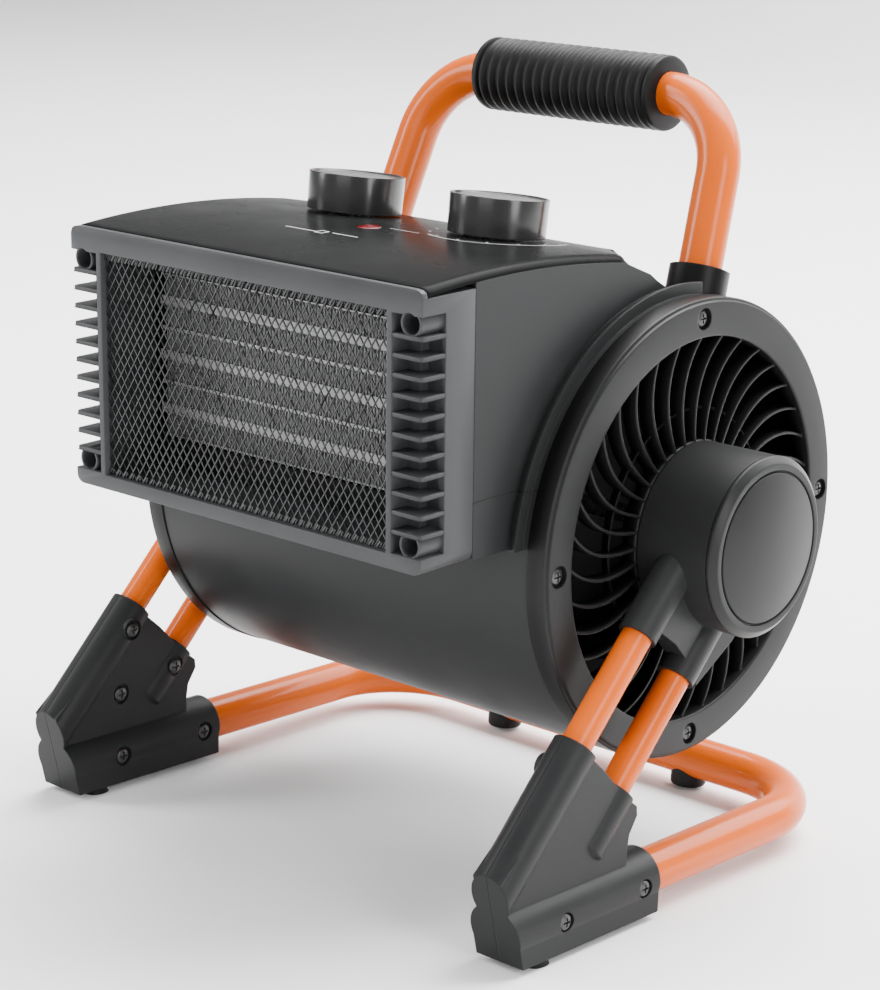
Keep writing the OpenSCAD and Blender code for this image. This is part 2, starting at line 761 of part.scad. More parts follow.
module handle_collar_right() {
    color("#26272a") on_head() handle_collar(1);
}
module handle_collar_left() {
    color("#26272a") on_head() handle_collar(-1);
}

// ---- Fan ----

module fan_motor() {
    color("#8d9094") on_head() difference() {
        union() {
            rod_x(-motor_half, motor_half, motor_r);
            rod_x(-motor_half - 6, motor_half + 6, 12);
        }
        rod_x(-motor_half - 8, motor_half + 8, shaft_r + running_gap);
    }
}
// Strap round the motor with feet on the lower housing's floor
module motor_bracket() {
    color("#77797c") on_head() difference() {
        union() {
            rod_x(-12, 12, motor_r + 3);
            box([-12, -30, -drum_r + wall + 6], [12, -24, -10]);
            box([-12, 24, -drum_r + wall + 6], [12, 30, -10]);
            intersection() {
                box([-12, -40, -drum_r], [12, 40, -drum_r + wall + 14]);
                rod_x(-12, 12, drum_r - wall - joint_gap, $fn = 128);
            }
        }
        rod_x(-13, 13, motor_r + joint_gap);
    }
}
module motor_shaft() {
    color("#c0c2c4") on_head() rod_x(-motor_half - wheel_w - 10, motor_half + wheel_w + 10, shaft_r);
}
// Squirrel-cage wheel: hub plate on the motor's side, blades and an end ring
module fan_wheel() {
    x0 = motor_half + 7.5;
    difference() {
        union() {
            rod_x(x0, x0 + 2, wheel_r);
            rod_x(x0, x0 + 14, 10);
            difference() {
                rod_x(x0 + wheel_w - 2.5, x0 + wheel_w, wheel_r);
                rod_x(x0, x0 + wheel_w + 1, wheel_r - 9);
            }
            for (i = [0:blade_count - 1]) rotate([i * 360 / blade_count, 0, 0])
                translate([x0 + 1, -0.6, wheel_r - 10]) rotate([22, 0, 0]) cube([wheel_w - 2, 1.2, 9.5]);
        }
        rod_x(x0 - 1, x0 + 15, shaft_r + joint_gap / 2);
    }
}
module fan_wheel_right() {
    color("#55585c") on_head() fan_wheel();
}
module fan_wheel_left() {
    color("#55585c") on_head() mirror_x() fan_wheel();
}

// ---- Stand ----

// Put a strut's line along Z, with its top end at the tilt axis's height
module strut_frame(y) {
    translate([strut_x, y, 0]) rotate([-(90 - strut_slope), 0, 0]) children();
}
// Length down a strut's line to a height below the axis
function down(z) = z / sin(strut_slope);

module base_solid(r) {
    leg_end = -bracket_front + 8;
    for (s = [-1, 1]) {
        translate([s * strut_x, leg_end, base_z]) rotate([-90, 0, 0])
            cylinder(h = base_rear - base_bend - leg_end, r = r);
        translate([s * (strut_x - base_bend), base_rear - base_bend, base_z]) rotate(s > 0 ? 0 : 90)
            rotate_extrude(angle = 90) translate([base_bend, 0]) circle(r = r);
    }
    rod_x(-strut_x + base_bend, strut_x - base_bend, r, base_rear, base_z);
}
module base_tube() {
    color("#f07020") on_axis() difference() {
        base_solid(base_r);
        base_solid(base_r - tube_wall);
        for (s = [-1, 1], p = base_screws)
            rod_x(s > 0 ? strut_x - 20 : -strut_x - 20, s > 0 ? strut_x + 20 : -strut_x + 20,
                screw_shank_r + running_gap, p[0], p[1]);
    }
}
// Strut with a hole in its inner wall for the clamping screw
module strut(y, top, bottom, clamp) {
    difference() {
        strut_frame(y) translate([0, 0, -down(bottom)]) difference() {
            cylinder(h = down(bottom) - down(top), r = strut_r);
            translate([0, 0, -1]) cylinder(h = down(bottom) - down(top) + 2, r = strut_r - tube_wall);
        }
        rod_x(strut_x - 20, strut_x, screw_shank_r + running_gap, clamp[0], clamp[1]);
    }
}
module front_strut_right() {
    color("#f07020") on_axis() strut(-front_strut_y, front_top, front_low, lug);
}
module front_strut_left() {
    color("#f07020") on_axis() mirror_x() strut(-front_strut_y, front_top, front_low, lug);
}
module rear_strut_right() {
    color("#f07020") on_axis() strut(rear_strut_y, rear_top, rear_low, rear_clamp);
}
module rear_strut_left() {
    color("#f07020") on_axis() mirror_x() strut(rear_strut_y, rear_top, rear_low, rear_clamp);
}

// Whole foot bracket before it is split into its two halves
module bracket_body() {
    x0 = strut_x - bracket_w / 2;
    x1 = strut_x + bracket_w / 2;
    front = bracket_front + front_lean;
    difference() {
        union() {
            box([x0, -front, foot_z], [x1, -bracket_rear, base_z + 4]);
            translate([strut_x, -front, base_z]) rotate([-90, 0, 0])
                cylinder(h = front - bracket_rear, r = base_r + 3);
            strut_frame(-front_strut_y) translate([0, 0, -down(axis_h - 10)])
                cylinder(h = down(axis_h - 10) - down(front_mouth), r = channel_r);
            strut_frame(rear_strut_y) {
                translate([0, 0, -down(rear_end)])
                    cylinder(h = down(rear_end) - down(rear_mouth), r = channel_r);
                translate([0, 0, -down(rear_end) - 4]) cylinder(h = 4, r1 = channel_r - 4, r2 = channel_r);
            }
            along_x(strut_x - web_t / 2, strut_x + web_t / 2)
                polygon([[-92, -70], [-80, -80], [-66, -94], [-58, -100], [-57.5, -104], [-62, -111],
                         [-63, -118], [-63, base_z], [-front, base_z], [-front, -112]]);
            rod_x(x0 + 2, strut_x, lug_r, lug[0], lug[1]);
        }
        box([0, -200, -axis_h - 50], [strut_x * 2, 200, foot_z]);
        along_x(0, strut_x * 2)
            polygon([[-bracket_front, foot_z - 1], [-front, bracket_top], [-front, bracket_top + 40],
                     [-front - 60, bracket_top + 40], [-front - 60, foot_z - 1]]);
        box([0, -bracket_rear, -axis_h], [strut_x * 2, 200, base_z + 40]);
        translate([strut_x, -bracket_front + 7.9, base_z]) rotate([-90, 0, 0])
            cylinder(h = 200, r = base_r + joint_gap);
        strut_frame(-front_strut_y) translate([0, 0, -down(front_low) - 0.1])
            cylinder(h = 100, r = strut_r + joint_gap);
        strut_frame(rear_strut_y) translate([0, 0, -down(rear_low) - 0.1])
            cylinder(h = 100, r = strut_r + joint_gap);
        for (p = base_screws) {
            rod_x(x1 - 1.4, x1 + 1, outer_recess_r, p[0], p[1]);
            rod_x(strut_x, x1, screw_shank_r + running_gap, p[0], p[1]);
        }
        for (p = inner_screws) {
            rod_x(x0 - 3, inner_face(p), recess_r, p[0], p[1]);
            rod_x(x0, strut_x + 2, screw_shank_r + running_gap, p[0], p[1]);
        }
        translate([strut_x, pad_y, foot_z - 1])
            linear_extrude(3.1) polygon(stadium(pad_half, pad_r + joint_gap));
    }
}
// Where an inner screw's head seats: on the base block, the lug, a channel or the web
function inner_face(p) = strut_x + 1.4
    - (p[1] == base_z ? bracket_w / 2 : p == lug ? bracket_w / 2 - 2 : p == rear_clamp ? channel_r : web_t / 2);
module bracket_half(outer) {
    intersection() {
        bracket_body();
        box([outer ? strut_x + joint_gap / 2 : 0, -250, -axis_h - 10],
            [outer ? 2 * strut_x : strut_x - joint_gap / 2, 50, 0]);
    }
}
module foot_bracket_outer_right() {
    color("#3b3d3f") on_axis() bracket_half(true);
}
module foot_bracket_outer_left() {
    color("#3b3d3f") on_axis() mirror_x() bracket_half(true);
}
module foot_bracket_inner_right() {
    color("#3b3d3f") on_axis() bracket_half(false);
}
module foot_bracket_inner_left() {
    color("#3b3d3f") on_axis() mirror_x() bracket_half(false);
}
module bracket_screws() {
    for (p = base_screws) translate([strut_x + bracket_w / 2 - 1.4 + screw_head_t, p[0], p[1]])
        rotate([0, 90, 0]) screw(6);
    for (p = inner_screws) translate([inner_face(p) - screw_head_t, p[0], p[1]])
        rotate([0, -90, 0]) screw(6);
}
module bracket_screws_right() {
    color("#262626") on_axis() bracket_screws();
}
module bracket_screws_left() {
    color("#262626") on_axis() mirror_x() bracket_screws();
}
module front_feet() {
    color("#151515") on_axis() for (s = [-1, 1])
        translate([s * strut_x, pad_y, -axis_h])
            linear_extrude(foot_drop + 2) polygon(stadium(pad_half, pad_r));
}
module rear_feet() {
    color("#151515") on_axis() difference() {
        for (s = [-1, 1]) translate([s * rear_foot_x, base_rear, -axis_h])
            cylinder(h = base_h - 2, r1 = rear_foot_r, r2 = rear_foot_r - 0.8);
        rod_x(-strut_x, strut_x, base_r + joint_gap, base_rear, base_z);
    }
}

// ---- Pivots ----

module pivot_arm() {
    difference() {
        union() {
            rod_x(arm_x, cap_x, arm_r, $fn = 96);
            strut_frame(-front_strut_y) translate([0, 0, -down(31)]) cylinder(h = down(31), r = socket_r);
            strut_frame(rear_strut_y) translate([0, 0, -down(54)]) cylinder(h = down(54), r = socket_r);
            along_x(strut_x - 5, strut_x + 5)
                polygon([[-36, -6], [-56, -24], [-45, -31], [-36, -37], [-29, -44], [-24, -51],
                         [-20, -58], [3, -44], [20, -28]]);
        }
        rod_x(arm_x + arm_floor, cap_x + 1, arm_r - 4, $fn = 96);
        rod_x(arm_x - 1, cap_x, bolt_r + running_gap);
        strut_frame(-front_strut_y) translate([0, 0, -100])
            cylinder(h = 100 - down(front_top) + 0.1, r = strut_r + joint_gap);
        strut_frame(rear_strut_y) translate([0, 0, -120])
            cylinder(h = 120 - down(rear_top) + 0.1, r = strut_r + joint_gap);
    }
}
module pivot_arm_right() {
    color("#2e3032") on_axis() pivot_arm();
}
module pivot_arm_left() {
    color("#2e3032") on_axis() mirror_x() pivot_arm();
}
module pivot_bolt() {
    rod_x(arm_x - bush_back - 12, arm_x + arm_floor, bolt_r);
    rod_x(arm_x + arm_floor + joint_gap, arm_x + arm_floor + bolt_head_t, bolt_head_r);
    rod_x(arm_x + arm_floor - 1, arm_x + arm_floor + 1, bolt_r);
}
module pivot_bolt_right() {
    color("#9a9c9e") on_axis() pivot_bolt();
}
module pivot_bolt_left() {
    color("#9a9c9e") on_axis() mirror_x() pivot_bolt();
}
module pivot_nut() {
    x1 = arm_x - moving_gap - bush_back - moving_gap;
    difference() {
        union() {
            rod_x(x1 - 1.2, x1, 11);
            rod_x(x1 - 8, x1 - 1.1, 10, $fn = 6);
        }
        rod_x(x1 - 10, x1 + 1, bolt_r + joint_gap / 2);
    }
}
module pivot_nut_right() {
    color("#a8aaac") on_axis() pivot_nut();
}
module pivot_nut_left() {
    color("#a8aaac") on_axis() mirror_x() pivot_nut();
}
// Snap-in end cap with a chamfered rim, a groove and a shallow dome
module pivot_cap() {
    ball_r = (dome_r * dome_r + dome_h * dome_h) / (2 * dome_h);
    steps = 10;
    translate([cap_x + joint_gap, 0, 0]) rotate([0, 90, 0]) rotate_extrude($fn = 96)
        polygon(concat(
            [[0, -2], [arm_r - 7, -2], [arm_r - 7, -9], [arm_r - 4 - joint_gap, -9], [arm_r - 4 - joint_gap, 0],
             [arm_r + 0.2, 0], [arm_r + 0.2, cap_t - 2.5], [arm_r - 3, cap_t], [dome_r + groove_w, cap_t],
             [dome_r + groove_w, cap_t - 1], [dome_r, cap_t - 1]],
            [for (i = [steps:-1:0]) let (r = dome_r * i / steps)
                [r, cap_t + sqrt(ball_r * ball_r - r * r) - ball_r + dome_h]]));
}
module pivot_cap_right() {
    color("#35373a") on_axis() pivot_cap();
}
module pivot_cap_left() {
    color("#35373a") on_axis() mirror_x() pivot_cap();
}

lower_housing();
upper_housing();
control_panel();
outlet_bezel();
bezel_screws();
guard_mesh();
heater_frame();
heating_bars();
heater_fins();
overheat_cutout();
air_guide();
indicator_lens();
thermostat_knob();
selector_knob();
thermostat_body();
selector_switch();
terminal_block();
cord_gland();
intake_grille_right();
intake_grille_left();
grille_screws_right();
grille_screws_left();
pivot_bush_right();
pivot_bush_left();
handle_tube();
handle_grip();
handle_collar_right();
handle_collar_left();
fan_motor();
motor_bracket();
motor_shaft();
fan_wheel_right();
fan_wheel_left();
base_tube();
front_strut_right();
front_strut_left();
rear_strut_right();
rear_strut_left();
foot_bracket_outer_right();
foot_bracket_outer_left();
foot_bracket_inner_right();
foot_bracket_inner_left();
bracket_screws_right();
bracket_screws_left();
front_feet();
rear_feet();
pivot_arm_right();
pivot_arm_left();
pivot_bolt_right();
pivot_bolt_left();
pivot_nut_right();
pivot_nut_left();
pivot_cap_right();
pivot_cap_left();
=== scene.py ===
# %% [markdown]
# # Ceramic space heater
# A drum-shaped fan heater: two moulded housings round a fan, a ceramic element behind a mesh guard,
# swirl-ribbed intake grilles on the drum's ends, a rubber-gripped carrying handle, and a stand of bent
# orange tube whose arms carry the head on pivots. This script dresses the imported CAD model: every moving
# body is there already, and each piece made here rides on one of them.

# %% Load the frame
import json
import math

import bmesh
import bpy
from mathutils import Matrix, Vector


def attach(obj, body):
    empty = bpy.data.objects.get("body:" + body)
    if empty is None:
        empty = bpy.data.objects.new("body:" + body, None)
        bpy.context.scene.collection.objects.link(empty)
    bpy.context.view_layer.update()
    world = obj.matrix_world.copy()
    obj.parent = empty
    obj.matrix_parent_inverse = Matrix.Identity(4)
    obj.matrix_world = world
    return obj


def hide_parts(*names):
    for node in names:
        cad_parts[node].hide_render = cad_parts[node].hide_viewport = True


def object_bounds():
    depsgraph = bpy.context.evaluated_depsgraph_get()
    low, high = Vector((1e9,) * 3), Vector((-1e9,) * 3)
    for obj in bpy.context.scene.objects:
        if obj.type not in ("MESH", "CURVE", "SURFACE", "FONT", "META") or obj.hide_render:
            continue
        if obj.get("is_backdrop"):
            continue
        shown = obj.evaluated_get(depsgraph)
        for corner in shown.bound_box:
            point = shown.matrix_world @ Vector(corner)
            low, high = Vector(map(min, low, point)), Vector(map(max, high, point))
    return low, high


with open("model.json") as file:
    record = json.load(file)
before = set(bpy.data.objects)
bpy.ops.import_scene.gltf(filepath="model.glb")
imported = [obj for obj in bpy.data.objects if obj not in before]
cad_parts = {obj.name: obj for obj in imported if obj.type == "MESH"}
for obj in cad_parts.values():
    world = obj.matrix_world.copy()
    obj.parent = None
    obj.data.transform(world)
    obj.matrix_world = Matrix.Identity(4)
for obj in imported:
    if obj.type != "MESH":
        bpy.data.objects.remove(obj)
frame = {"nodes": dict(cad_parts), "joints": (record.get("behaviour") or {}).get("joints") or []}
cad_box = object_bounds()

nodes = frame["nodes"]

# %% [markdown]
# The head is tipped a little nose-down on its tilt axis, and the stand is level. Each piece is worked out
# in millimetres about the tilt axis, in whichever of the two it belongs to, and one matrix then takes its
# mesh to its place. Working about the axis keeps every number a size that a maker would know.

# %% Places of the head and the stand
MM = 0.001
NOSE_DOWN = math.radians(2.3)
joints = {j["name"]: j for j in frame["joints"]}
axle = Vector(joints["head_tilt"]["pos_m"])
STAND = Matrix.Translation(axle) @ Matrix.Scale(MM, 4)
HEAD = Matrix.Translation(axle) @ Matrix.Rotation(NOSE_DOWN, 4, "X") @ Matrix.Scale(MM, 4)
TURN_END = Matrix.Rotation(math.pi, 4, "Z")
SIDES = (("right", Matrix()), ("left", Matrix.Scale(-1, 4, (1, 0, 0))))
print("tilt axis at", [round(v, 4) for v in axle])

# %% [markdown]
# ## Camera, floor and lights
# The heater is seen from its right front and a little above, with a long lens, so its edges hardly
# converge. The camera is placed from the view's angles and distance about the tilt axis.

# %% Camera
def add_object(name, data):
    """A new object in the scene."""
    added = bpy.data.objects.new(name, data)
    bpy.context.scene.collection.objects.link(added)
    return added


AZIMUTH, ELEVATION, ROLL = (math.radians(a) for a in (41.42, 14.04, 2.18))
LENS_MM = 97.95
# The tilt axis is this far right of the view's middle, above it, and away from the camera.
AXLE_SEEN_AT = Vector((20.07, 7.07, 1184.61)) * MM
level_share = math.cos(ELEVATION)
back = Vector((math.sin(AZIMUTH) * level_share, -math.cos(AZIMUTH) * level_share, math.sin(ELEVATION)))
level = back.cross(Vector((0, 0, -1))).normalized()
upright = back.cross(level).normalized()
right = level * math.cos(ROLL) + upright * math.sin(ROLL)
up = upright * math.cos(ROLL) - level * math.sin(ROLL)
place = axle - right * AXLE_SEEN_AT.x - up * AXLE_SEEN_AT.y + back * AXLE_SEEN_AT.z
camera = add_object("camera", bpy.data.cameras.new("camera"))
camera.data.lens = LENS_MM
camera.data.clip_start = 0.05
camera.matrix_world = Matrix.Translation(place) @ Matrix((right, up, back)).transposed().to_4x4()
bpy.context.scene.camera = camera
print("camera is", round((place - axle).length, 3), "m from the tilt axis")

# %% [markdown]
# Dark glossy plastic shows its lights more than its own colour, so the studio is a bright even world with
# broad soft boxes: one high on the left for the tubes' long highlights, one on the right that grazes the
# intake grille, a weak one in front for the outlet, and one overhead. A far larger and stronger one is
# aimed at the paper behind the heater, to make it nearly white.

# %% Floor and lights
def soft_box(name, at, size, power, toward=(0, 0, 0.16)):
    """A rectangular studio light that looks at a point of the heater."""
    light = bpy.data.lights.new(name, "AREA")
    light.shape = "RECTANGLE"
    light.size, light.size_y = size
    light.energy = power
    lamp = add_object(name, light)
    lamp.location = at
    lamp.rotation_euler = (Vector(toward) - Vector(at)).to_track_quat("-Z", "Y").to_euler()


soft_box("left_box", (-1.3, -1.1, 1.0), (0.5, 1.4), 34)
soft_box("right_box", (1.6, -0.35, 0.7), (0.5, 1.2), 20)
soft_box("front_box", (0.35, -1.9, 0.75), (1.2, 0.7), 8)
soft_box("top_box", (0.1, 0.6, 1.5), (1.2, 0.9), 32)
soft_box("sweep_box", (0.3, 2.4, 2.4), (5.0, 3.0), 520, (0, 2.6, 0))
world = bpy.data.worlds.new("studio")
world.use_nodes = True
world.node_tree.nodes["Background"].inputs["Color"].default_value = (1, 1, 1, 1)
world.node_tree.nodes["Background"].inputs["Strength"].default_value = 0.6
bpy.context.scene.world = world

# %% [markdown]
# ## Helpers for finishes
# A finish is a node tree. Written out link by link it is hard to read, so numbers on the surface are
# wrapped in a small class: adding, multiplying or comparing two of them adds the Math node that does it.

# %% Surface maths
class Number:
    """A number that varies over the surface; arithmetic on it adds Math nodes."""

    def __init__(self, graph, socket):
        self.graph, self.socket = graph, socket

    def math(self, operation, *values):
        """Add a Math node on this number and the given ones."""
        inputs = dict(enumerate((self,) + values))
        return self.graph.node("ShaderNodeMath", {"operation": operation}, inputs)

    def __add__(self, other):
        return self.math("ADD", other)

    def __radd__(self, other):
        return self.math("ADD", other)

    def __sub__(self, other):
        return self.math("SUBTRACT", other)

    def __rsub__(self, other):
        return (self * -1).math("ADD", other)

    def __mul__(self, other):
        return self.math("MULTIPLY", other)

    def __rmul__(self, other):
        return self.math("MULTIPLY", other)

    def __lt__(self, other):
        return self.math("LESS_THAN", other)

    def __gt__(self, other):
        return self.math("GREATER_THAN", other)

    def size(self):
        return self.math("ABSOLUTE")

    def most(self, other):
        return self.math("MAXIMUM", other)


class Graph:
    """A node tree, of a material or of Geometry Nodes."""

    def __init__(self, tree):
        self.tree = tree

    def node(self, kind, settings=None, values=None, out=0):
        """Add a node: its settings first, then the values or links of its sockets. Gives one output."""
        node = self.tree.nodes.new(kind)
        for key, value in (settings or {}).items():
            setattr(node, key, value)
        for key, value in (values or {}).items():
            if isinstance(value, Number):
                self.tree.links.new(value.socket, node.inputs[key])
            else:
                node.inputs[key].default_value = value
        return Number(self, node.outputs[out]) if node.outputs else None


PLASTIC_SPECULAR = 0.14  # below Blender's own 0.5, because the textured plastic hardly shines


class Finish(Graph):
    """A material, with the patterns that this heater's finishes share."""

    def __init__(self, name):
        self.material = bpy.data.materials.new(name)
        self.material.use_nodes = True
        super().__init__(self.material.node_tree)
        self.tree.nodes.clear()
        self.place = self.node("ShaderNodeTexCoord", out="Object")

    def noise(self, size_mm, detail=2):
        """Soft random pattern with features of about that size, from 0 to 1."""
        values = {"Vector": self.place, "Scale": 1 / (size_mm * MM), "Detail": detail}
        return self.node("ShaderNodeTexNoise", {}, values)

    def pebbles(self, size_mm):
        """Rounded cells of about that size: 0 at their middles."""
        values = {"Vector": self.place, "Scale": 1 / (size_mm * MM)}
        return self.node("ShaderNodeTexVoronoi", {"feature": "SMOOTH_F1"}, values)

    def mix(self, share, first, second):
        """A colour between two others."""
        return self.node("ShaderNodeMix", {"data_type": "RGBA"}, {0: share, 6: first, 7: second}, out=2)

    def range(self, value, low, high, to_low=0.0, to_high=1.0):
        """Stretch low..high to another range, held at its ends."""
        return self.node("ShaderNodeMapRange", {}, {0: value, 1: low, 2: high, 3: to_low, 4: to_high})

    def surface(self, colour, rough, height=None, depth_mm=0.02, edge_mm=0, **rest):
        """Close the tree with a Principled shader; edge_mm softens sharp edges in the normal."""
        values = {"Base Color": colour, "Roughness": rough, "Specular IOR Level": PLASTIC_SPECULAR}
        values.update({key.replace("_", " "): value for key, value in rest.items()})
        normal = self.node("ShaderNodeBevel", {"samples": 4}, {"Radius": edge_mm * MM}) if edge_mm else None
        if height is not None:
            bump = {"Height": height, "Distance": depth_mm * MM, "Strength": 1.0}
            if normal:
                bump["Normal"] = normal
            normal = self.node("ShaderNodeBump", {}, bump)
        if normal:
            values["Normal"] = normal
        shader = self.node("ShaderNodeBsdfPrincipled", {}, values)
        self.node("ShaderNodeOutputMaterial", {}, {"Surface": shader})
        return self.material


def grey(level, blue=0.0):
    """A near-neutral linear colour, a little cool."""
    return (level * (1 - blue), level, level * (1 + blue), 1)

# %% [markdown]
# ## Finishes
# The mouldings are charcoal plastic with a fine spark-eroded grain: tiny pebbles in the bump, a slow
# mottle in the colour and roughness, and softened edges. The bezel is the same plastic in a bluer,
# lighter grey, the pivot arms and brackets are a little darker, and the grilles darker still, with
# painted shade on their ribs behind the rim's front.

# %% Moulded plastics
# Painted shade: over these distances from the middle plane, the grille's colour goes from shaded deep inside to
# full at the rim's front.
PAINTED_RIB_SHADE = (108.5 * MM, 113.5 * MM)  # distances from the middle plane: dark ribs, light rim


def moulding(name, level, blue=0.03, rough=0.42, grain_mm=0.55, depth_mm=0.03, edge_mm=0.7, painted_shade_inside=False):
    """Textured moulded plastic; for the grilles, the last argument paints shade on the ribs behind their fronts.
    """
    f = Finish(name)
    mottle = f.noise(38, 4)
    speck = f.noise(0.9, 3)
    share = f.range(mottle * 0.7 + speck * 0.3, 0.3, 0.7)
    colour = f.mix(share, grey(level * 0.86, blue), grey(level * 1.16, blue))
    if painted_shade_inside:
        outwards = f.node("ShaderNodeSeparateXYZ", {}, {"Vector": f.place}).size()
        # Painted shade: deeper in the grille than the rim's front, the ribs, hub and ring are painted a fifth as
        # bright, for the shade inside.
        colour = f.mix(f.range(outwards, *PAINTED_RIB_SHADE), grey(level * 0.2), colour)
    roughness = f.range(mottle, 0.3, 0.7, rough - 0.04, rough + 0.05)
    grain = f.pebbles(grain_mm) * 0.6 + f.noise(grain_mm * 0.8, 2) * 0.4
    return f.surface(colour, roughness, grain, depth_mm, edge_mm)


housing_grey = moulding("housing_grey", 0.016)
bezel_grey = moulding("bezel_grey", 0.04, blue=0.04, rough=0.36, grain_mm=0.8)
# The grilles carry painted shade behind their rib fronts.
grille_grey = moulding("grille_grey", 0.01, blue=0.02, rough=0.4, painted_shade_inside=True)
cap_grey = moulding("cap_grey", 0.011, blue=0.02, rough=0.36)
arm_black = moulding("arm_black", 0.015, blue=0.02, rough=0.4)
bracket_grey = moulding("bracket_grey", 0.013, blue=0.03, rough=0.44, edge_mm=0.9)
inner_black = moulding("inner_black", 0.006, rough=0.55, edge_mm=0)
print("plastics made")

# %% [markdown]
# The knobs are polished black plastic: nearly smooth, with a faint moulded wave and the finest of
# scratches. The panel is satin, and its printing is thin pale marks: a line beside the lamp, two bars and
# an open square near the front edge, and an arc and small squares round the right knob. They are drawn
# in the finish as masks on the panel's own millimetres, so they stay sharp at any distance. No
# lettering is drawn.

# %% Knob and panel
f = Finish("knob_black")
polish = f.noise(9, 2)
hairline = f.noise(0.35, 3)
knob_black = f.surface(f.mix(polish, grey(0.018), grey(0.025)), f.range(hairline, 0.3, 0.8, 0.16, 0.26),
                       polish, 0.05, 0.3, Specular_IOR_Level=0.4)

KNOB_X, KNOB_Y = 40.0, -42.0
f = Finish("panel_black")
local = f.node("ShaderNodeMapping", {"vector_type": "TEXTURE"},
               {"Vector": f.place, "Location": tuple(axle), "Rotation": (NOSE_DOWN, 0, 0), "Scale": (MM, MM, MM)})
x, y = (f.node("ShaderNodeSeparateXYZ", {}, {"Vector": local}, out=k) for k in range(2))


def bar_mark(x_mid, y_mid, x_half, y_half):
    """A printed bar, 1 inside it."""
    return ((x - x_mid).size() < x_half) * ((y - y_mid).size() < y_half)


def arc_mark(radius, half_width, from_deg, to_deg):
    """A printed arc round the right knob, between two bearings from +X towards the rear."""
    dx, dy = x - KNOB_X, y - KNOB_Y
    distance = (dx * dx + dy * dy).math("SQRT")
    bearing = dy.math("ARCTAN2", dx) * (180 / math.pi)
    return ((distance - radius).size() < half_width) * (bearing > from_deg) * (bearing < to_deg)


ARC_R, DOTS_R, DOT_HALF = 29.4, 27, 0.55
SQUARE_X, SQUARE_Y, SQUARE_LINE = -3.2, -99.2, 0.28
marks = [(15, -70, 8, 0.2), (-14.5, -100, 8.5, 0.3), (8.5, -98, 7, 0.3)]
for way in (-1, 1):
    marks += [(SQUARE_X, SQUARE_Y + 2.2 * way, 1.9, SQUARE_LINE), (SQUARE_X + 2 * way, SQUARE_Y, SQUARE_LINE, 2.3)]
for bearing in range(-165, 60, 27):
    turn = math.radians(bearing)
    marks.append((KNOB_X + DOTS_R * math.cos(turn), KNOB_Y + DOTS_R * math.sin(turn), DOT_HALF, DOT_HALF))
printing = arc_mark(ARC_R, 0.32, -118, 28)
for mark in marks:
    printing = printing.most(bar_mark(*mark))
satin = f.noise(26, 4)
grain = f.pebbles(0.5)
base = f.mix(satin, grey(0.006, 0.02), grey(0.01, 0.03))
panel_black = f.surface(f.mix(printing, base, grey(0.5)), f.range(satin, 0.3, 0.7, 0.22, 0.3), grain, 0.006,
                        Specular_IOR_Level=0.012)
print("marks printed on the panel, with the dial's arc:", len(marks) + 1)

# %% [markdown]
# The tubes are powder coated in gloss orange: a coat that flows out nearly flat but keeps a faint orange
# peel a few millimetres across. Rubber is matt and dusty. The metals are brushed, brazed or blackened.

# %% Paint, rubber and metals
f = Finish("orange_coat")
flow = f.noise(3.2, 1)
cloud = f.noise(70, 3)
orange = f.mix(cloud, (0.52, 0.078, 0.001, 1), (0.62, 0.105, 0.003, 1))
orange_coat = f.surface(orange, f.range(cloud, 0.3, 0.7, 0.2, 0.26), flow, 0.03, 0.2,
                        Coat_Weight=0.12, Coat_Roughness=0.08)

f = Finish("grip_rubber")
dust = f.noise(14, 4)
rubber = f.mix(f.range(dust, 0.35, 0.75), grey(0.005), grey(0.01))
grip_rubber = f.surface(rubber, f.range(dust, 0.3, 0.7, 0.42, 0.55), f.noise(0.6, 3), 0.03, 0.3)


def metal(name, level, rough, grain_mm=(0.25, 0.25, 0.25), blue=0.0, metallic=1.0, depth_mm=0.004):
    """Bare or coated metal with a directional grain."""
    f = Finish(name)
    stretched = f.node("ShaderNodeMapping", {"vector_type": "TEXTURE"},
                       {"Vector": f.place, "Scale": tuple(g * MM for g in grain_mm)})
    grain = f.node("ShaderNodeTexNoise", {}, {"Vector": stretched, "Scale": 1.0, "Detail": 3.0})
    tone = f.noise(12, 3)
    colour = f.mix(tone, grey(level * 0.85, blue), grey(level * 1.15, blue))
    roughness = f.range(grain, 0.3, 0.7, rough - 0.07, rough + 0.07)
    return f.surface(colour, roughness, grain, depth_mm, Metallic=metallic)


bright_steel = metal("bright_steel", 0.45, 0.3, (3, 0.2, 0.2))
guard_steel = metal("guard_steel", 0.05, 0.4, blue=0.02, metallic=0.7)
black_screw = metal("black_screw", 0.06, 0.34, metallic=0.8)
element_metal = metal("element_metal", 0.3, 0.42, (0.3, 0.3, 4), metallic=0.5)
sheet_black = metal("sheet_black", 0.025, 0.5, (4, 0.3, 0.3), metallic=0.3)

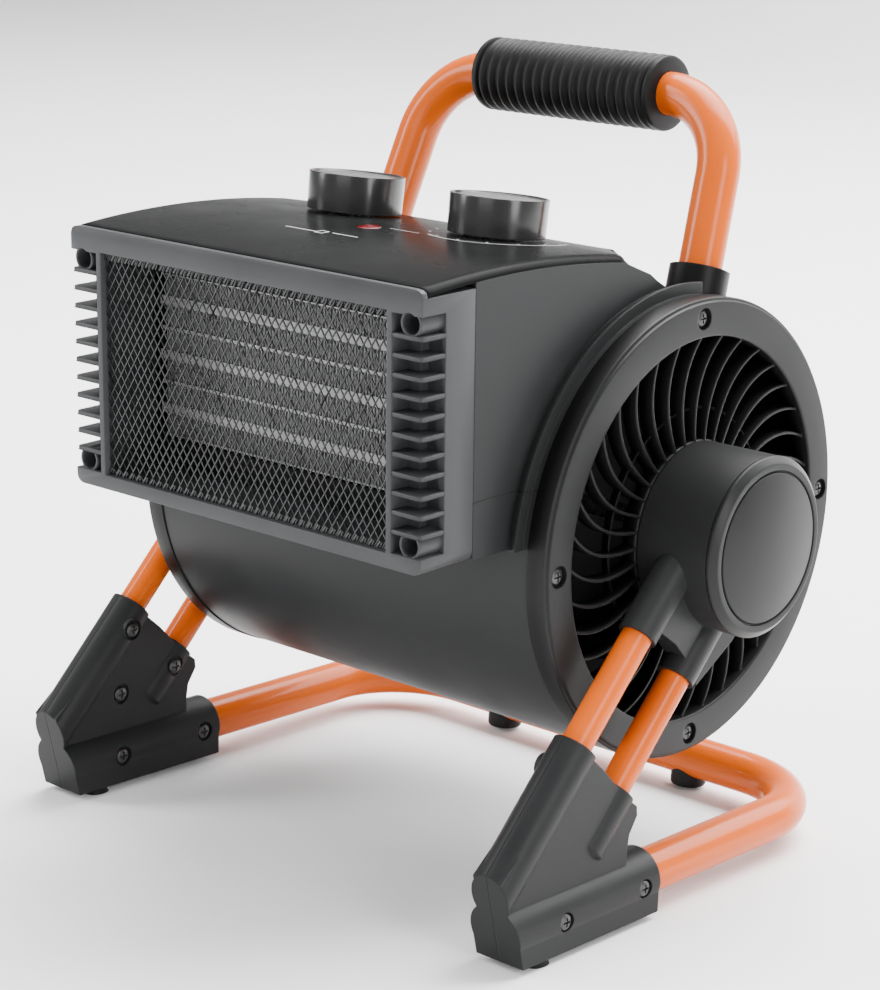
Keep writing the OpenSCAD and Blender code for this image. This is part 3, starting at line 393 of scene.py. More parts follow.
f = Finish("bearing_brass")
wear = f.noise(5, 3)
bearing_brass = f.surface(f.mix(wear, (0.52, 0.36, 0.13, 1), (0.66, 0.5, 0.22, 1)),
                          f.range(wear, 0.3, 0.7, 0.25, 0.4), wear, 0.01, Metallic=1.0)
f = Finish("fired_ceramic")
chalk = f.noise(2.5, 5)
fired_ceramic = f.surface(f.mix(chalk, (0.62, 0.56, 0.44, 1), (0.74, 0.69, 0.57, 1)), 0.7, chalk, 0.05)
f = Finish("ivory_moulding")
sheen = f.noise(8, 3)
ivory_moulding = f.surface(f.mix(sheen, (0.66, 0.62, 0.52, 1), (0.76, 0.73, 0.63, 1)),
                           f.range(sheen, 0.3, 0.7, 0.36, 0.5), sheen, 0.01)
f = Finish("lamp_red")
glow = f.noise(3, 2)
lamp_red = f.surface(f.mix(glow, (0.08, 0.0, 0.001, 1), (0.13, 0.001, 0.003, 1)),
                     f.range(glow, 0.3, 0.7, 0.08, 0.16), glow, 0.01, Coat_Weight=0.5)
print("finishes:", len([m for m in bpy.data.materials if m.use_nodes]))

# %% [markdown]
# Each CAD piece whose shape is right keeps its mesh and takes a finish. Sorting the pieces by finish
# shows what the heater is made of; the loop stops if a name is wrong.

# %% Finishes of the CAD pieces
def both(*names):
    """The right and left piece of each name."""
    return [f"{name}_{side}" for name in names for side in ("right", "left")]


finished = {
    housing_grey: ["lower_housing", "upper_housing"],
    inner_black: ["heater_frame", "cord_gland"] + both("fan_wheel"),
    grille_grey: both("handle_collar"),
    arm_black: both("pivot_arm"),
    bracket_grey: both("foot_bracket_outer", "foot_bracket_inner"),
    bright_steel: ["fan_motor", "motor_bracket", "motor_shaft"] + both("pivot_bolt", "pivot_nut"),
    sheet_black: ["air_guide"],
    element_metal: ["heating_bars"],
    bearing_brass: both("pivot_bush"),
    fired_ceramic: ["overheat_cutout"],
    ivory_moulding: ["thermostat_body", "selector_switch", "terminal_block"],
}
for finish, names in finished.items():
    for name in names:
        mesh = nodes[name].data
        mesh.materials.clear()
        mesh.materials.append(finish)
print("CAD pieces finished:", sum(len(names) for names in finished.values()))

# %% [markdown]
# ## Helpers for shapes
# Most of the pieces are turned, bent or extruded, as in a real workshop. One helper closes the job for
# all of them: it takes the mesh to its place, joins doubled points, turns the faces outwards, rounds
# the shading and hands the piece to its body.

# %% Add a piece
def settle(mesh, smooth_deg=38):
    """Join doubled points, face every surface outwards and keep only real corners sharp."""
    bm = bmesh.new()
    bm.from_mesh(mesh)
    bmesh.ops.remove_doubles(bm, verts=bm.verts, dist=0.002)
    bmesh.ops.recalc_face_normals(bm, faces=bm.faces)
    bm.to_mesh(mesh)
    bm.free()
    for face in mesh.polygons:
        face.use_smooth = True
    mesh.set_sharp_from_angle(angle=math.radians(smooth_deg))


def place_piece(name, mesh, frame_of, body, finish, stands_for=()):
    """Take a settled mesh from millimetres to its place and give it to its body."""
    mesh.transform(frame_of)
    if frame_of.determinant() < 0:
        mesh.flip_normals()
    mesh.materials.clear()
    mesh.materials.append(finish)
    piece = add_object(name, mesh)
    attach(piece, body)
    if stands_for:
        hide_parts(*stands_for)
    print(f"{name}: {sum(len(p.vertices) - 2 for p in mesh.polygons)} triangles")


def mesh_of(points, faces):
    """A mesh of points and of faces that count on them."""
    mesh = bpy.data.meshes.new("shape")
    mesh.from_pydata([tuple(p) for p in points], [], faces)
    return mesh

# %% [markdown]
# Real edges are never sharp. `fillet` rounds the corners of an outline before it is turned or extruded,
# so the rounding is part of the shape and catches light as a thin line.

# %% Outlines with rounded corners
def fillet(outline, radius, steps=4):
    """Round the corners of a closed outline; radius is one number, or one for each corner."""
    count = len(outline)
    radii = radius if isinstance(radius, (list, tuple)) else [radius] * count
    rounded = []
    for i, corner in enumerate(outline):
        corner = Vector(corner)
        before, after = Vector(outline[i - 1]) - corner, Vector(outline[(i + 1) % count]) - corner
        turn = before.angle(after, 0) if before.length and after.length else 0
        if radii[i] <= 0 or turn < 0.05 or turn > math.pi - 0.05:
            rounded.append(corner)
            continue
        reach = min(radii[i] / math.tan(turn / 2), before.length * 0.48, after.length * 0.48)
        start, end = corner + before.normalized() * reach, corner + after.normalized() * reach
        for k in range(steps + 1):
            t = k / steps
            rounded.append(start * (1 - t) ** 2 + corner * 2 * t * (1 - t) + end * t * t)
    return rounded


def turned(profile, segments=96):
    """Turn a closed profile of (radius, x) round the X axis."""
    points, faces, rings = [], [], []
    for radius, x in profile:
        if radius < 1e-6:
            rings.append([len(points)])
            points.append((x, 0, 0))
            continue
        rings.append(list(range(len(points), len(points) + segments)))
        for k in range(segments):
            angle = 2 * math.pi * k / segments
            points.append((x, radius * math.cos(angle), radius * math.sin(angle)))
    for first, second in zip(rings, rings[1:] + rings[:1]):
        if len(first) == 1 and len(second) == 1:
            continue
        for k in range(segments):
            n = (k + 1) % segments
            corners = [first[k % len(first)], first[n % len(first)],
                       second[n % len(second)], second[k % len(second)]]
            faces.append(list(dict.fromkeys(corners)))
    return mesh_of(points, faces)


def extruded(outline, low, high, axis="Y"):
    """Extrude an outline: (x, z) along Y, (x, y) along Z, or (y, z) along X."""
    order = {"Y": lambda p, d: (p[0], d, p[1]), "Z": lambda p, d: (p[0], p[1], d),
             "X": lambda p, d: (d, p[0], p[1])}[axis]
    count = len(outline)
    points = [order(p, d) for d in (low, high) for p in outline]
    faces = [list(range(count)), list(range(count, 2 * count))]
    faces += [[k, (k + 1) % count, (k + 1) % count + count, k + count] for k in range(count)]
    return mesh_of(points, faces)


def swept(path, radius, segments=40, hollow=0.0):
    """A round tube along a path; hollow is its inner radius, open at both ends."""
    sections, side = [], None
    for i, here in enumerate(path):
        ahead = (path[min(i + 1, len(path) - 1)] - path[max(i - 1, 0)]).normalized()
        side = ahead.orthogonal().normalized() if side is None else (side - ahead * side.dot(ahead)).normalized()
        over = ahead.cross(side)
        sections.append((here, side, over))
    if hollow:
        walls = [(s, radius) for s in sections] + [(s, hollow) for s in reversed(sections)]
    else:
        walls = [(s, radius) for s in sections]
    points = [here + (side * math.cos(a) + over * math.sin(a)) * r for (here, side, over), r in walls
              for a in (2 * math.pi * k / segments for k in range(segments))]
    rings = [list(range(i * segments, (i + 1) * segments)) for i in range(len(walls))]
    pairs = list(zip(rings, rings[1:])) + ([(rings[-1], rings[0])] if hollow else [])
    faces = [[a[k], a[(k + 1) % segments], b[(k + 1) % segments], b[k]]
             for a, b in pairs for k in range(segments)]
    if not hollow:
        faces += [rings[0], rings[-1]]
    return mesh_of(points, faces)

# %% [markdown]
# Pockets and screw holes are cut from a solid with Boolean modifiers, and a Bevel modifier then breaks
# the edges that are left. Both are applied at once, so the piece is a plain mesh.

# %% Cutting and bevelling
def with_modifiers(mesh, make):
    """Run modifiers on a mesh and return the result as a plain mesh."""
    work = add_object("work", mesh)
    helpers = make(work) or []
    bpy.context.view_layer.update()
    graph = bpy.context.evaluated_depsgraph_get()
    result = bpy.data.meshes.new_from_object(work.evaluated_get(graph), preserve_all_data_layers=True,
                                             depsgraph=graph)
    for used in [work] + helpers:
        bpy.data.objects.remove(used)
    return result


def cut(mesh, tools):
    """Cut tool meshes away from a mesh."""
    for each in [mesh] + tools:
        settle(each)

    def make(work):
        made = []
        for tool in tools:
            cutter = add_object("cutter", tool)
            cutter.hide_render = True
            boolean = work.modifiers.new("cut", "BOOLEAN")
            boolean.operation, boolean.object, boolean.solver = "DIFFERENCE", cutter, "EXACT"
            made.append(cutter)
        return made

    return with_modifiers(mesh, make)


def bevelled(mesh, width, segments=2, angle_deg=35):
    """Round the sharp edges of a mesh in millimetres."""
    def make(work):
        bevel = work.modifiers.new("edges", "BEVEL")
        bevel.width, bevel.segments, bevel.angle_limit = width, segments, math.radians(angle_deg)
        bevel.limit_method = "ANGLE"
    return with_modifiers(mesh, make)


def block(low, high):
    """A box between two corners."""
    face = [(low[0], low[2]), (high[0], low[2]), (high[0], high[2]), (low[0], high[2])]
    return extruded(face, low[1], high[1])


def joined(meshes):
    """Several meshes as one, each still a solid of its own."""
    bm = bmesh.new()
    for mesh in meshes:
        bm.from_mesh(mesh)
    result = bpy.data.meshes.new("joined")
    bm.to_mesh(result)
    bm.free()
    return result

# %% [markdown]
# ## Geometry Nodes for what repeats
# Fins, ribs, screws, mesh strands and corrugations are one small shape many times over. Three trees make
# them all: along a row or grid, round an axle, and at given seats. Each one ends by realizing its
# instances and setting the finish, and the result becomes a plain mesh.

# %% Repeat trees
class Repeat(Graph):
    """A Geometry Nodes tree with named inputs that copies one shape."""

    def __init__(self, name, inputs):
        tree = bpy.data.node_groups.new(name, "GeometryNodeTree")
        super().__init__(tree)
        tree.interface.new_socket("Geometry", in_out="OUTPUT", socket_type="NodeSocketGeometry")
        tree.interface.new_socket("Geometry", in_out="INPUT", socket_type="NodeSocketGeometry")
        for label, kind in {**inputs, "Shape": "Object", "Finish": "Material"}.items():
            tree.interface.new_socket(label, in_out="INPUT", socket_type="NodeSocket" + kind)
        self.entry = tree.nodes.new("NodeGroupInput")

    def given(self, label):
        return Number(self, self.entry.outputs[label])

    def close(self, points, rotation=None):
        """Copy the shape to the points, make the copies real and set their finish."""
        shape = self.node("GeometryNodeObjectInfo", {}, {"Object": self.given("Shape")}, out="Geometry")
        values = {"Points": points, "Instance": shape}
        if rotation:
            values["Rotation"] = rotation
        copies = self.node("GeometryNodeInstanceOnPoints", {}, values)
        real = self.node("GeometryNodeRealizeInstances", {}, {"Geometry": copies})
        finished = self.node("GeometryNodeSetMaterial", {}, {"Geometry": real, "Material": self.given("Finish")})
        self.node("NodeGroupOutput", {}, {"Geometry": finished})

    def grow(self, shape, finish, carrier=None, **sizes):
        """The repeated shape as one plain mesh."""
        settle(shape)
        one = add_object("one", shape)

        def make(work):
            modifier = work.modifiers.new("repeat", "NODES")
            modifier.node_group = self.tree
            wanted = {**sizes, "Shape": one, "Finish": finish}
            for item in self.tree.interface.items_tree:
                if item.in_out == "INPUT" and item.name.replace(" ", "_") in wanted:
                    modifier[item.identifier] = wanted[item.name.replace(" ", "_")]
            return [one]

        return with_modifiers(carrier or mesh_of([(0, 0, 0)], []), make)


grid_inputs = {"Width": "Float", "Height": "Float", "Columns": "Int", "Rows": "Int"}
grid = Repeat("grid", {**grid_inputs, "Middle": "Vector"})
flat = grid.node("GeometryNodeMeshGrid", {}, {k: grid.given(label) for k, label in enumerate(grid_inputs)})
upright_grid = grid.node("GeometryNodeTransform", {}, {
    "Geometry": flat, "Rotation": (math.pi / 2, 0, 0), "Translation": grid.given("Middle")})
grid.close(upright_grid)

wheel = Repeat("wheel", {"Count": "Int"})
spots = wheel.node("GeometryNodePoints", {}, {"Count": wheel.given("Count")})
index = wheel.node("GeometryNodeInputIndex")
turns = index * (2 * math.pi) * (wheel.given("Count").math("POWER", -1.0))
wheel.close(spots, wheel.node("ShaderNodeCombineXYZ", {}, {"X": turns}))

seats = Repeat("seats", {})
aim = seats.node("GeometryNodeInputNamedAttribute", {"data_type": "FLOAT_VECTOR"}, {"Name": "aim"})
turned_to = seats.node("FunctionNodeAlignRotationToVector", {"axis": "Z"}, {"Vector": aim})
seats.close(seats.given("Geometry"), turned_to)
print("repeat trees:", [t.name for t in bpy.data.node_groups if t.bl_idname == "GeometryNodeTree"])


def seated(shape, finish, places):
    """Copies of a shape at places, each a point and the direction that its head faces."""
    carrier = mesh_of([p for p, _ in places], [])
    attribute = carrier.attributes.new("aim", "FLOAT_VECTOR", "POINT")
    attribute.data.foreach_set("vector", [c for _, way in places for c in way])
    return seats.grow(shape, finish, carrier)

# %% [markdown]
# ## The bezel and its cooling fins
# The outlet's frame has a column of L-shaped fins at each side, which keeps fingers off hot plastic. The
# frame is cut from a rounded block: the air window, a ledge for the panel, a pocket behind each row of
# fins and a hole for each screw. A short round boss stands round each hole. The fins are then a
# repeated shape.

# %% Bezel frame
FRONT, DUCT_HALF, DUCT_LOW, DUCT_HIGH = -150.0, 98.0, 10.0, 119.5
WINDOW_HALF, WINDOW_LOW, WINDOW_HIGH = 80.0, 16.0, 110.0
COLUMN_SCREW_X, COLUMN_SCREW_Z, COLUMN_SEAT = 91.3, (20.8, 106.2), -134.0
BEZEL_REAR, HOLE_R, BOSS_R, BOSS_LONG = -120.7, 4.2, 5.4, 15
QUARTER_Z = Matrix.Rotation(math.pi / 2, 4, "Z")
PAST_FRONT, PAST_REAR, PAST_SIDE = FRONT - 1, -119, DUCT_HALF + 1  # cuts end clear of the block
rolled = [(DUCT_HALF, DUCT_HIGH - 3.1), (DUCT_HALF - 0.7, DUCT_HIGH - 1.2), (DUCT_HALF - 2.2, DUCT_HIGH - 0.3),
          (DUCT_HALF - 4.5, DUCT_HIGH)]
outline = [(-DUCT_HALF, DUCT_LOW), (DUCT_HALF, DUCT_LOW)] + rolled
outline += [(-x_at, z_at) for x_at, z_at in reversed(rolled)]
outline = fillet(outline, [4.5, 4.5] + [0.8] * 8, 5)
tools = [block((-WINDOW_HALF, PAST_FRONT, WINDOW_LOW), (WINDOW_HALF, PAST_REAR, WINDOW_HIGH)),
         block((-PAST_SIDE, -147.2, 116.3), (PAST_SIDE, PAST_REAR, DUCT_HIGH + 1.5))]
bosses = []
for side in (-1, 1):
    for x_in, y_in in ((82.6, -141.0), (89.0, -137.0)):
        x_low, x_high = sorted((side * x_in, side * PAST_SIDE))
        tools.append(block((x_low, PAST_FRONT, WINDOW_LOW + 0.5), (x_high, y_in, WINDOW_HIGH - 0.5)))
    for z_screw in COLUMN_SCREW_Z:
        facing_front = Matrix.Translation((side * COLUMN_SCREW_X, COLUMN_SEAT, z_screw)) @ QUARTER_Z
        hole = turned([(0, -30), (HOLE_R, -30), (HOLE_R, 0), (0, 0)], 32)
        hole.transform(facing_front)
        tools.append(hole)
        boss = turned(fillet([(HOLE_R, 0.5), (HOLE_R, -BOSS_LONG), (BOSS_R, -BOSS_LONG), (BOSS_R, 0.5)],
                             [0, 0.3, 0.5, 0], 3), 40)
        boss.transform(facing_front)
        bosses.append(boss)
frame_mesh = cut(extruded(outline, FRONT, BEZEL_REAR), tools)
frame_mesh = bevelled(frame_mesh, 0.55)
frame_mesh = joined([frame_mesh] + bosses)
settle(frame_mesh, 50)
place_piece("bezel_frame", frame_mesh, HEAD, "head", bezel_grey, ["outlet_bezel"])

# %% [markdown]
# One fin is an L in plan, wrapped round the column's corner, with its edges broken. The grid tree copies
# it up each column.

# %% Column fins
FIN_COUNT, FIN_PITCH, FIN_THICK = 11, 7.6, 1.7
column_mid = (WINDOW_LOW + WINDOW_HIGH) / 2


def fin_mesh(side):
    """One fin of the right (1) or left (-1) column."""
    plan = [(82.2, -149.8), (97.9, -149.9), (97.9, -136.6), (88.6, -136.6), (88.6, -140.6), (82.2, -140.6)]
    plan = fillet(plan, [0.4, 2.2, 0.4, 0, 0.6, 0], 4)
    slab = extruded([(side * a, b) for a, b in plan], -FIN_THICK / 2, FIN_THICK / 2, "Z")
    return bevelled(slab, 0.35, 2, 60)


for side, word in ((1, "right"), (-1, "left")):
    fins = grid.grow(fin_mesh(side), bezel_grey, Columns=1, Rows=FIN_COUNT, Width=0.0,
                     Height=FIN_PITCH * (FIN_COUNT - 1), Middle=(0, 0, column_mid))
    settle(fins, 50)
    place_piece(f"column_fins_{word}", fins, HEAD, "head", bezel_grey)

# %% [markdown]
# ## Guard mesh
# The guard is expanded steel: one sheet slit and stretched into diamonds, with its cut strands folded
# over along the top and bottom edges. One cell's two crossing strands are repeated over the window.

# %% Guard mesh
CELL_W, CELL_H, STRAND = 4.1, 6.2, 0.45
STRAND_DEPTH, GUARD_Y = 0.5, FRONT + 2.5
cells_x, cells_z = int(2 * WINDOW_HALF / CELL_W) + 1, int((WINDOW_HIGH - WINDOW_LOW) / CELL_H) + 1


def strand(x0, z0, x1, z1, y_front, thick=STRAND):
    """A slim flat strand between two points of the guard's plane."""
    along = Vector((x1 - x0, z1 - z0)).normalized()
    across = Vector((-along.y, along.x)) * thick / 2
    start, end = Vector((x0, z0)), Vector((x1, z1))
    return extruded([start - across, end - across, end + across, start + across], y_front, y_front + STRAND_DEPTH)


cell = joined([strand(-CELL_W / 2, -CELL_H / 2, CELL_W / 2, CELL_H / 2, 0),
               strand(-CELL_W / 2, CELL_H / 2, CELL_W / 2, -CELL_H / 2, 0.15)])
guard = grid.grow(cell, guard_steel, Columns=cells_x, Rows=cells_z, Width=CELL_W * (cells_x - 1),
                  Height=CELL_H * (cells_z - 1), Middle=(0, GUARD_Y, column_mid))
settle(guard)
place_piece("guard_strands", guard, HEAD, "head", guard_steel, ["guard_mesh"])
fold = joined([strand(-1.3, -1.3, 0.9, 1.5, -0.5, 0.9), strand(0.4, -1.2, 1.5, 1.1, -0.2, 0.6)])
hem = grid.grow(fold, guard_steel, Columns=cells_x - 1, Rows=2, Width=2 * WINDOW_HALF - 3,
                Height=WINDOW_HIGH - WINDOW_LOW - 3.4, Middle=(0, GUARD_Y, column_mid))
settle(hem)
place_piece("guard_hem", hem, HEAD, "head", guard_steel)

# %% [markdown]
# ## Ceramic element
# Each ceramic bar is clamped between stacks of corrugated aluminium, brazed to thin sheets that show as
# bright lines between the bars. One wave of the corrugation is repeated along each stack.

# %% Corrugated fins
BAR_PITCH, BAR_H, BAR_HALF, ELEMENT_Y = 23.2, 4.0, 78.0, -118.0
WAVE, FOIL, ELEMENT_DEPTH, SHEET_HALF = 1.7, 0.18, 14, 0.35
stack_h = (BAR_PITCH - BAR_H) / 2 - 0.5
waves = int(2 * BAR_HALF / WAVE)


def leaf(x0, x1):
    """One thin slanted leaf of the corrugation."""
    half = stack_h / 2
    outline = [(x0, -half), (x0 + FOIL, -half), (x1 + FOIL, half), (x1, half)]
    return extruded(outline, ELEMENT_Y + 1, ELEMENT_Y + ELEMENT_DEPTH)


wave = joined([leaf(-WAVE / 2, 0), leaf(WAVE / 2 - FOIL, 0)])
stacks, sheets = [], []
for row in range(3):
    bar_z = column_mid + (row - 1) * BAR_PITCH
    for side in (-1, 1):
        stack_z = bar_z + side * (BAR_H + stack_h) / 2
        stacks.append(grid.grow(wave.copy(), element_metal, Columns=waves, Rows=1,
                                Width=WAVE * (waves - 1), Height=0.0, Middle=(0, 0, stack_z)))
        edge_z = bar_z + side * (BAR_H / 2 + stack_h + 0.15)
        sheets.append(block((-BAR_HALF - 1, ELEMENT_Y + 0.3, edge_z - SHEET_HALF),
                            (BAR_HALF + 1, ELEMENT_Y + ELEMENT_DEPTH, edge_z + SHEET_HALF)))
corrugation = joined(stacks + sheets)
settle(corrugation)
place_piece("element_fins", corrugation, HEAD, "head", element_metal, ["heater_fins"])

# %% [markdown]
# ## Control panel
# The panel is one long crowned plate whose side edges roll over into the housing. A loft suits it: a
# cross-section is set at each step from front to rear, full width as far as the two rear corners, which
# are cut off straight.

# %% Panel
PANEL_FRONT, PANEL_REAR, PANEL_THICK = 147.0, 12.2, 3.12
CORNER_FRONT, CORNER_REAR, CORNER_CUT = 31.0, 12.0, 21.0
CROWN_RISE, REAR_DROP, NOSE_DROP, NOSE_RUN = 5.0, 5.6, 0.9, 1.2
EDGE_ROLL, ROLL_SQUASH = 5, 0.62
LAMP_OUT, LAMP_HOLE_R = 75, 5.15


def crown(y_out):
    """Height of the panel's top at a distance in front of the axis."""
    t = (-FRONT - y_out) / (-FRONT - CORNER_REAR)
    return DUCT_HIGH + CROWN_RISE * 4 * t * (1 - t) - REAR_DROP * t


def half_width(y_out):
    """Half width of the panel, less where the rear corners are cut off."""
    if y_out > CORNER_FRONT:
        return DUCT_HALF
    return DUCT_HALF - CORNER_CUT * (CORNER_FRONT - y_out) / (CORNER_FRONT - CORNER_REAR)


def lofted(sections):
    """Join closed sections with equal point counts, and close the two ends."""
    count = len(sections[0])
    points = [p for section in sections for p in section]
    faces = [[a * count + k, a * count + (k + 1) % count, (a + 1) * count + (k + 1) % count, (a + 1) * count + k]
             for a in range(len(sections) - 1) for k in range(count)]
    last = (len(sections) - 1) * count
    return mesh_of(points, faces + [list(range(count)), list(range(last, last + count))])


def panel_section(y_out):
    """The panel's section at a distance in front of the axis, its nose dropped a little."""
    half, top = half_width(y_out), crown(y_out)
    drop = NOSE_DROP * max(0.0, 1 - (PANEL_FRONT - y_out) / NOSE_RUN) ** 2
    roll = [(EDGE_ROLL * math.sin(a), EDGE_ROLL * ROLL_SQUASH * (math.cos(a) - 1))
            for a in (math.pi / 2 * k / 6 for k in range(7))]
    right_side = [(half - EDGE_ROLL + dx, top - drop + dz) for dx, dz in roll]
    middle = [(x_at, top - drop) for x_at in (-half * 0.5, 0, half * 0.5)]
    left_side = [(-x_at, z_at) for x_at, z_at in reversed(right_side)]
    under = [(x_at, top - PANEL_THICK) for x_at in (half, 0, -half)]
    return [(x_at, -y_out, z_at) for x_at, z_at in left_side + middle + right_side + under]


stops = [PANEL_FRONT - d for d in (0, 0.3, 0.7, NOSE_RUN)]
stops += [PANEL_FRONT - NOSE_RUN - k * (PANEL_FRONT - NOSE_RUN - CORNER_FRONT) / 40 for k in range(1, 41)]
stops += [CORNER_FRONT - k * (CORNER_FRONT - PANEL_REAR) / 10 for k in range(11)]
panel = lofted([panel_section(y_out) for y_out in stops])
lamp_seat = Matrix.Translation((0, -LAMP_OUT, crown(LAMP_OUT)))
lamp_hole = turned([(0, -9), (LAMP_HOLE_R, -9), (LAMP_HOLE_R, 9), (0, 9)], 48)
lamp_hole.transform(lamp_seat @ Matrix.Rotation(math.pi / 2, 4, "Y"))
panel = cut(panel, [lamp_hole])
settle(panel, 50)
place_piece("panel", panel, HEAD, "head", panel_black, ["control_panel"])

# %% [markdown]
# The lamp is a low red dome flush in the panel, and the knobs are turned: a plain polished wall, a fine
# rim and a dished top. Each knob leans back with the panel's slope.

# %% Lamp and knobs
UPRIGHT = Matrix.Rotation(-math.pi / 2, 4, "Y")
lamp_profile = [(0, -7), (6.4, -7), (6.4, -4.2), (4.9, -4.2), (4.9, 0.15), (2.6, 0.5), (0, 0.6)]
lamp = turned(fillet(lamp_profile, [0, 0.2, 0.2, 0, 0.4, 2, 0]), 48)
settle(lamp)
place_piece("lamp", lamp, HEAD @ lamp_seat @ UPRIGHT, "head", lamp_red, ["indicator_lens"])

KNOB_R, KNOB_H, KNOB_GAP = 20.5, 16.0, 0.7
lean = math.atan(crown(-KNOB_Y + 0.5) - crown(-KNOB_Y - 0.5))
knob_profile = [(0, 0), (KNOB_R - 0.3, 0), (KNOB_R, KNOB_H), (KNOB_R - 1.1, KNOB_H),
                (KNOB_R - 1.6, KNOB_H - 0.75), (0, KNOB_H - 0.6)]
knob_profile = fillet(knob_profile, [0, 0.3, 0.45, 0.3, 0.4, 0])
for word, side in (("thermostat", 1), ("selector", -1)):
    knob = turned(knob_profile)
    settle(knob, 30)
    seat = HEAD @ Matrix.Translation((side * KNOB_X, KNOB_Y, crown(-KNOB_Y))) @ Matrix.Rotation(-lean, 4, "X")
    seat = seat @ Matrix.Translation((0, 0, KNOB_GAP)) @ UPRIGHT
    place_piece(f"{word}_grip", knob, seat, word, knob_black, [f"{word}_knob"])

# %% [markdown]
# ## Intake grilles
# Each end of the drum has a rim, a closed hub and a swirl of thin ribs between them that keep fingers
# from the fan. The rim and hub are turned; one rib is built along its curve and the wheel tree copies it
# round the axle. The left grille is the same moulding turned end for end, so its swirl is the same
# seen from outside.

# %% Rim, hub and support ring
RIM_R, RIM_IN, RIM_X0, RIM_X1 = 97.0, 81.0, 105.1, 115.5
SCREW_RING_R, HUB_R, RIB_COUNT = 89.0, 38.0, 36
RIM_WALL, RIM_FACE, RIM_LIP, RECESS_R = 2.5, 3, 8.5, 4.6
rim_profile = [(RIM_R - RIM_WALL, RIM_X0), (RIM_R, RIM_X0), (RIM_R, RIM_X1 - 1.4), (RIM_R - 1.3, RIM_X1 - 1.2),
               (RIM_R - 1.6, RIM_X1), (RIM_IN, RIM_X1), (RIM_IN, RIM_X1 - RIM_LIP), (RIM_IN + 2, RIM_X1 - RIM_LIP),
               (RIM_IN + 2, RIM_X1 - RIM_FACE), (RIM_R - RIM_WALL, RIM_X1 - RIM_FACE)]
rim_profile = fillet(rim_profile, [0.2, 0.4, 1.2, 0.3, 0.6, 1.1, 0.3, 0.3, 0.3, 0.3])
seats_cut = []
for k in range(4):
    recess = turned([(0, RIM_X1 - 2.5), (RECESS_R, RIM_X1 - 2.5), (RECESS_R, RIM_X1 + 2), (0, RIM_X1 + 2)], 40)
    recess.transform(Matrix.Rotation(math.pi / 2 * k, 4, "X") @ Matrix.Translation((0, 0, SCREW_RING_R)))
    seats_cut.append(recess)
rim = cut(turned(rim_profile, 192), seats_cut)
hub_profile = [(14, 88), (14, 106), (HUB_R, 106), (HUB_R, 113), (10.1, 113), (10.1, 88)]
hub = turned(fillet(hub_profile, [0, 0.5, 0.8, 1.0, 0.2, 0]))
support = turned(fillet([(50, 106), (51.2, 106), (51.2, 109.6), (50, 109.6)], 0.3, 2))

# %% [markdown]
# A rib's middle line leaves the hub, bows against the swirl and reaches the rim twelve degrees on. Its
# section is a thin blade with a rounded front edge, which shows as a fine light line.

# %% Swirl ribs
SWIRL_DEG, BOW_DEG = 12, 18
STEP, STEP_OUT = 0.01, 0.46  # a small step along the rib, and how far it goes outwards


def rib_angle(t):
    """Bearing of the rib's middle line, from 0 at the hub to 1 at the rim."""
    return math.radians(-SWIRL_DEG * t + BOW_DEG * t * (1 - t))


blade = fillet([(-0.65, 106.2), (0.65, 106.2), (0.65, 113.2), (-0.65, 113.2)], [0, 0, 0.6, 0.6], 3)
sections = []
for k in range(15):
    t = k / 14
    radius, turn = HUB_R - 1 + (RIM_IN + 1 - HUB_R + 1) * t, rib_angle(t)
    next_r, next_turn = radius + STEP_OUT, rib_angle(t + STEP)
    heading = math.atan2(next_r * math.sin(next_turn) - radius * math.sin(turn),
                         next_r * math.cos(next_turn) - radius * math.cos(turn))
    across = Vector((-math.sin(heading), math.cos(heading)))
    middle = Vector((radius * math.cos(turn), radius * math.sin(turn)))
    sections.append([(x_at, middle.x + across.x * w, middle.y + across.y * w) for w, x_at in blade])
ribs = wheel.grow(lofted(sections), grille_grey, Count=RIB_COUNT)
grille = joined([rim, hub, support, ribs])
settle(grille, 32)
for word, turn_end in (("right", Matrix()), ("left", TURN_END)):
    place_piece(f"grille_{word}", grille.copy(), HEAD @ turn_end, "head", grille_grey,
                [f"intake_grille_{word}"])

# %% [markdown]
# ## Cross-head screws
# One screw head does for the whole heater: a low dome with a tapered cross sunk in it. The seats tree
# sets a copy on every seat, facing out, and there is one piece for each body that the screws ride on.

# %% Screws
HEAD_T = 1.8


def cross_head():
    """A screw's head, facing up, with its underside HEAD_T below its seat's zero."""
    profile = [(0, -HEAD_T), (3.1, -HEAD_T), (3.5, -0.9), (2.9, -0.25), (1.6, 0.1), (0, 0.2)]
    head = turned(fillet(profile, [0, 0.2, 0.4, 0.8, 1, 0], 3), 36)
    slots = []
    for quarter in (0, 1):
        slot = block((-0.42, -2.0, -0.75), (0.42, 2.0, 1))
        slot.transform(Matrix.Rotation(math.pi / 2 * quarter, 4, "Z"))
        slots.append(slot)
    head.transform(UPRIGHT)
    return cut(head, slots)


head_seats = [((side * COLUMN_SCREW_X, COLUMN_SEAT - 2.0, z_screw), (0, -1, 0))
              for side in (-1, 1) for z_screw in COLUMN_SCREW_Z]
for side in (-1, 1):
    for k in range(4):
        a = math.pi / 2 * k
        seat_at = (side * (RIM_X1 - 0.75), SCREW_RING_R * math.sin(a), SCREW_RING_R * math.cos(a))
        head_seats.append((seat_at, (side, 0, 0)))
screws = seated(cross_head(), black_screw, head_seats)
settle(screws, 30)
place_piece("head_screws", screws, HEAD, "head", black_screw,
            ["bezel_screws"] + both("grille_screws"))

# %% [markdown]
# ## Handle
# The handle is one bent tube through the housing's top. Its path is worked out from straight lines and
# arcs, as a bending machine would be set, and a circle is swept along it. It is seated a little behind the
# drum's top and leans back about its seat.

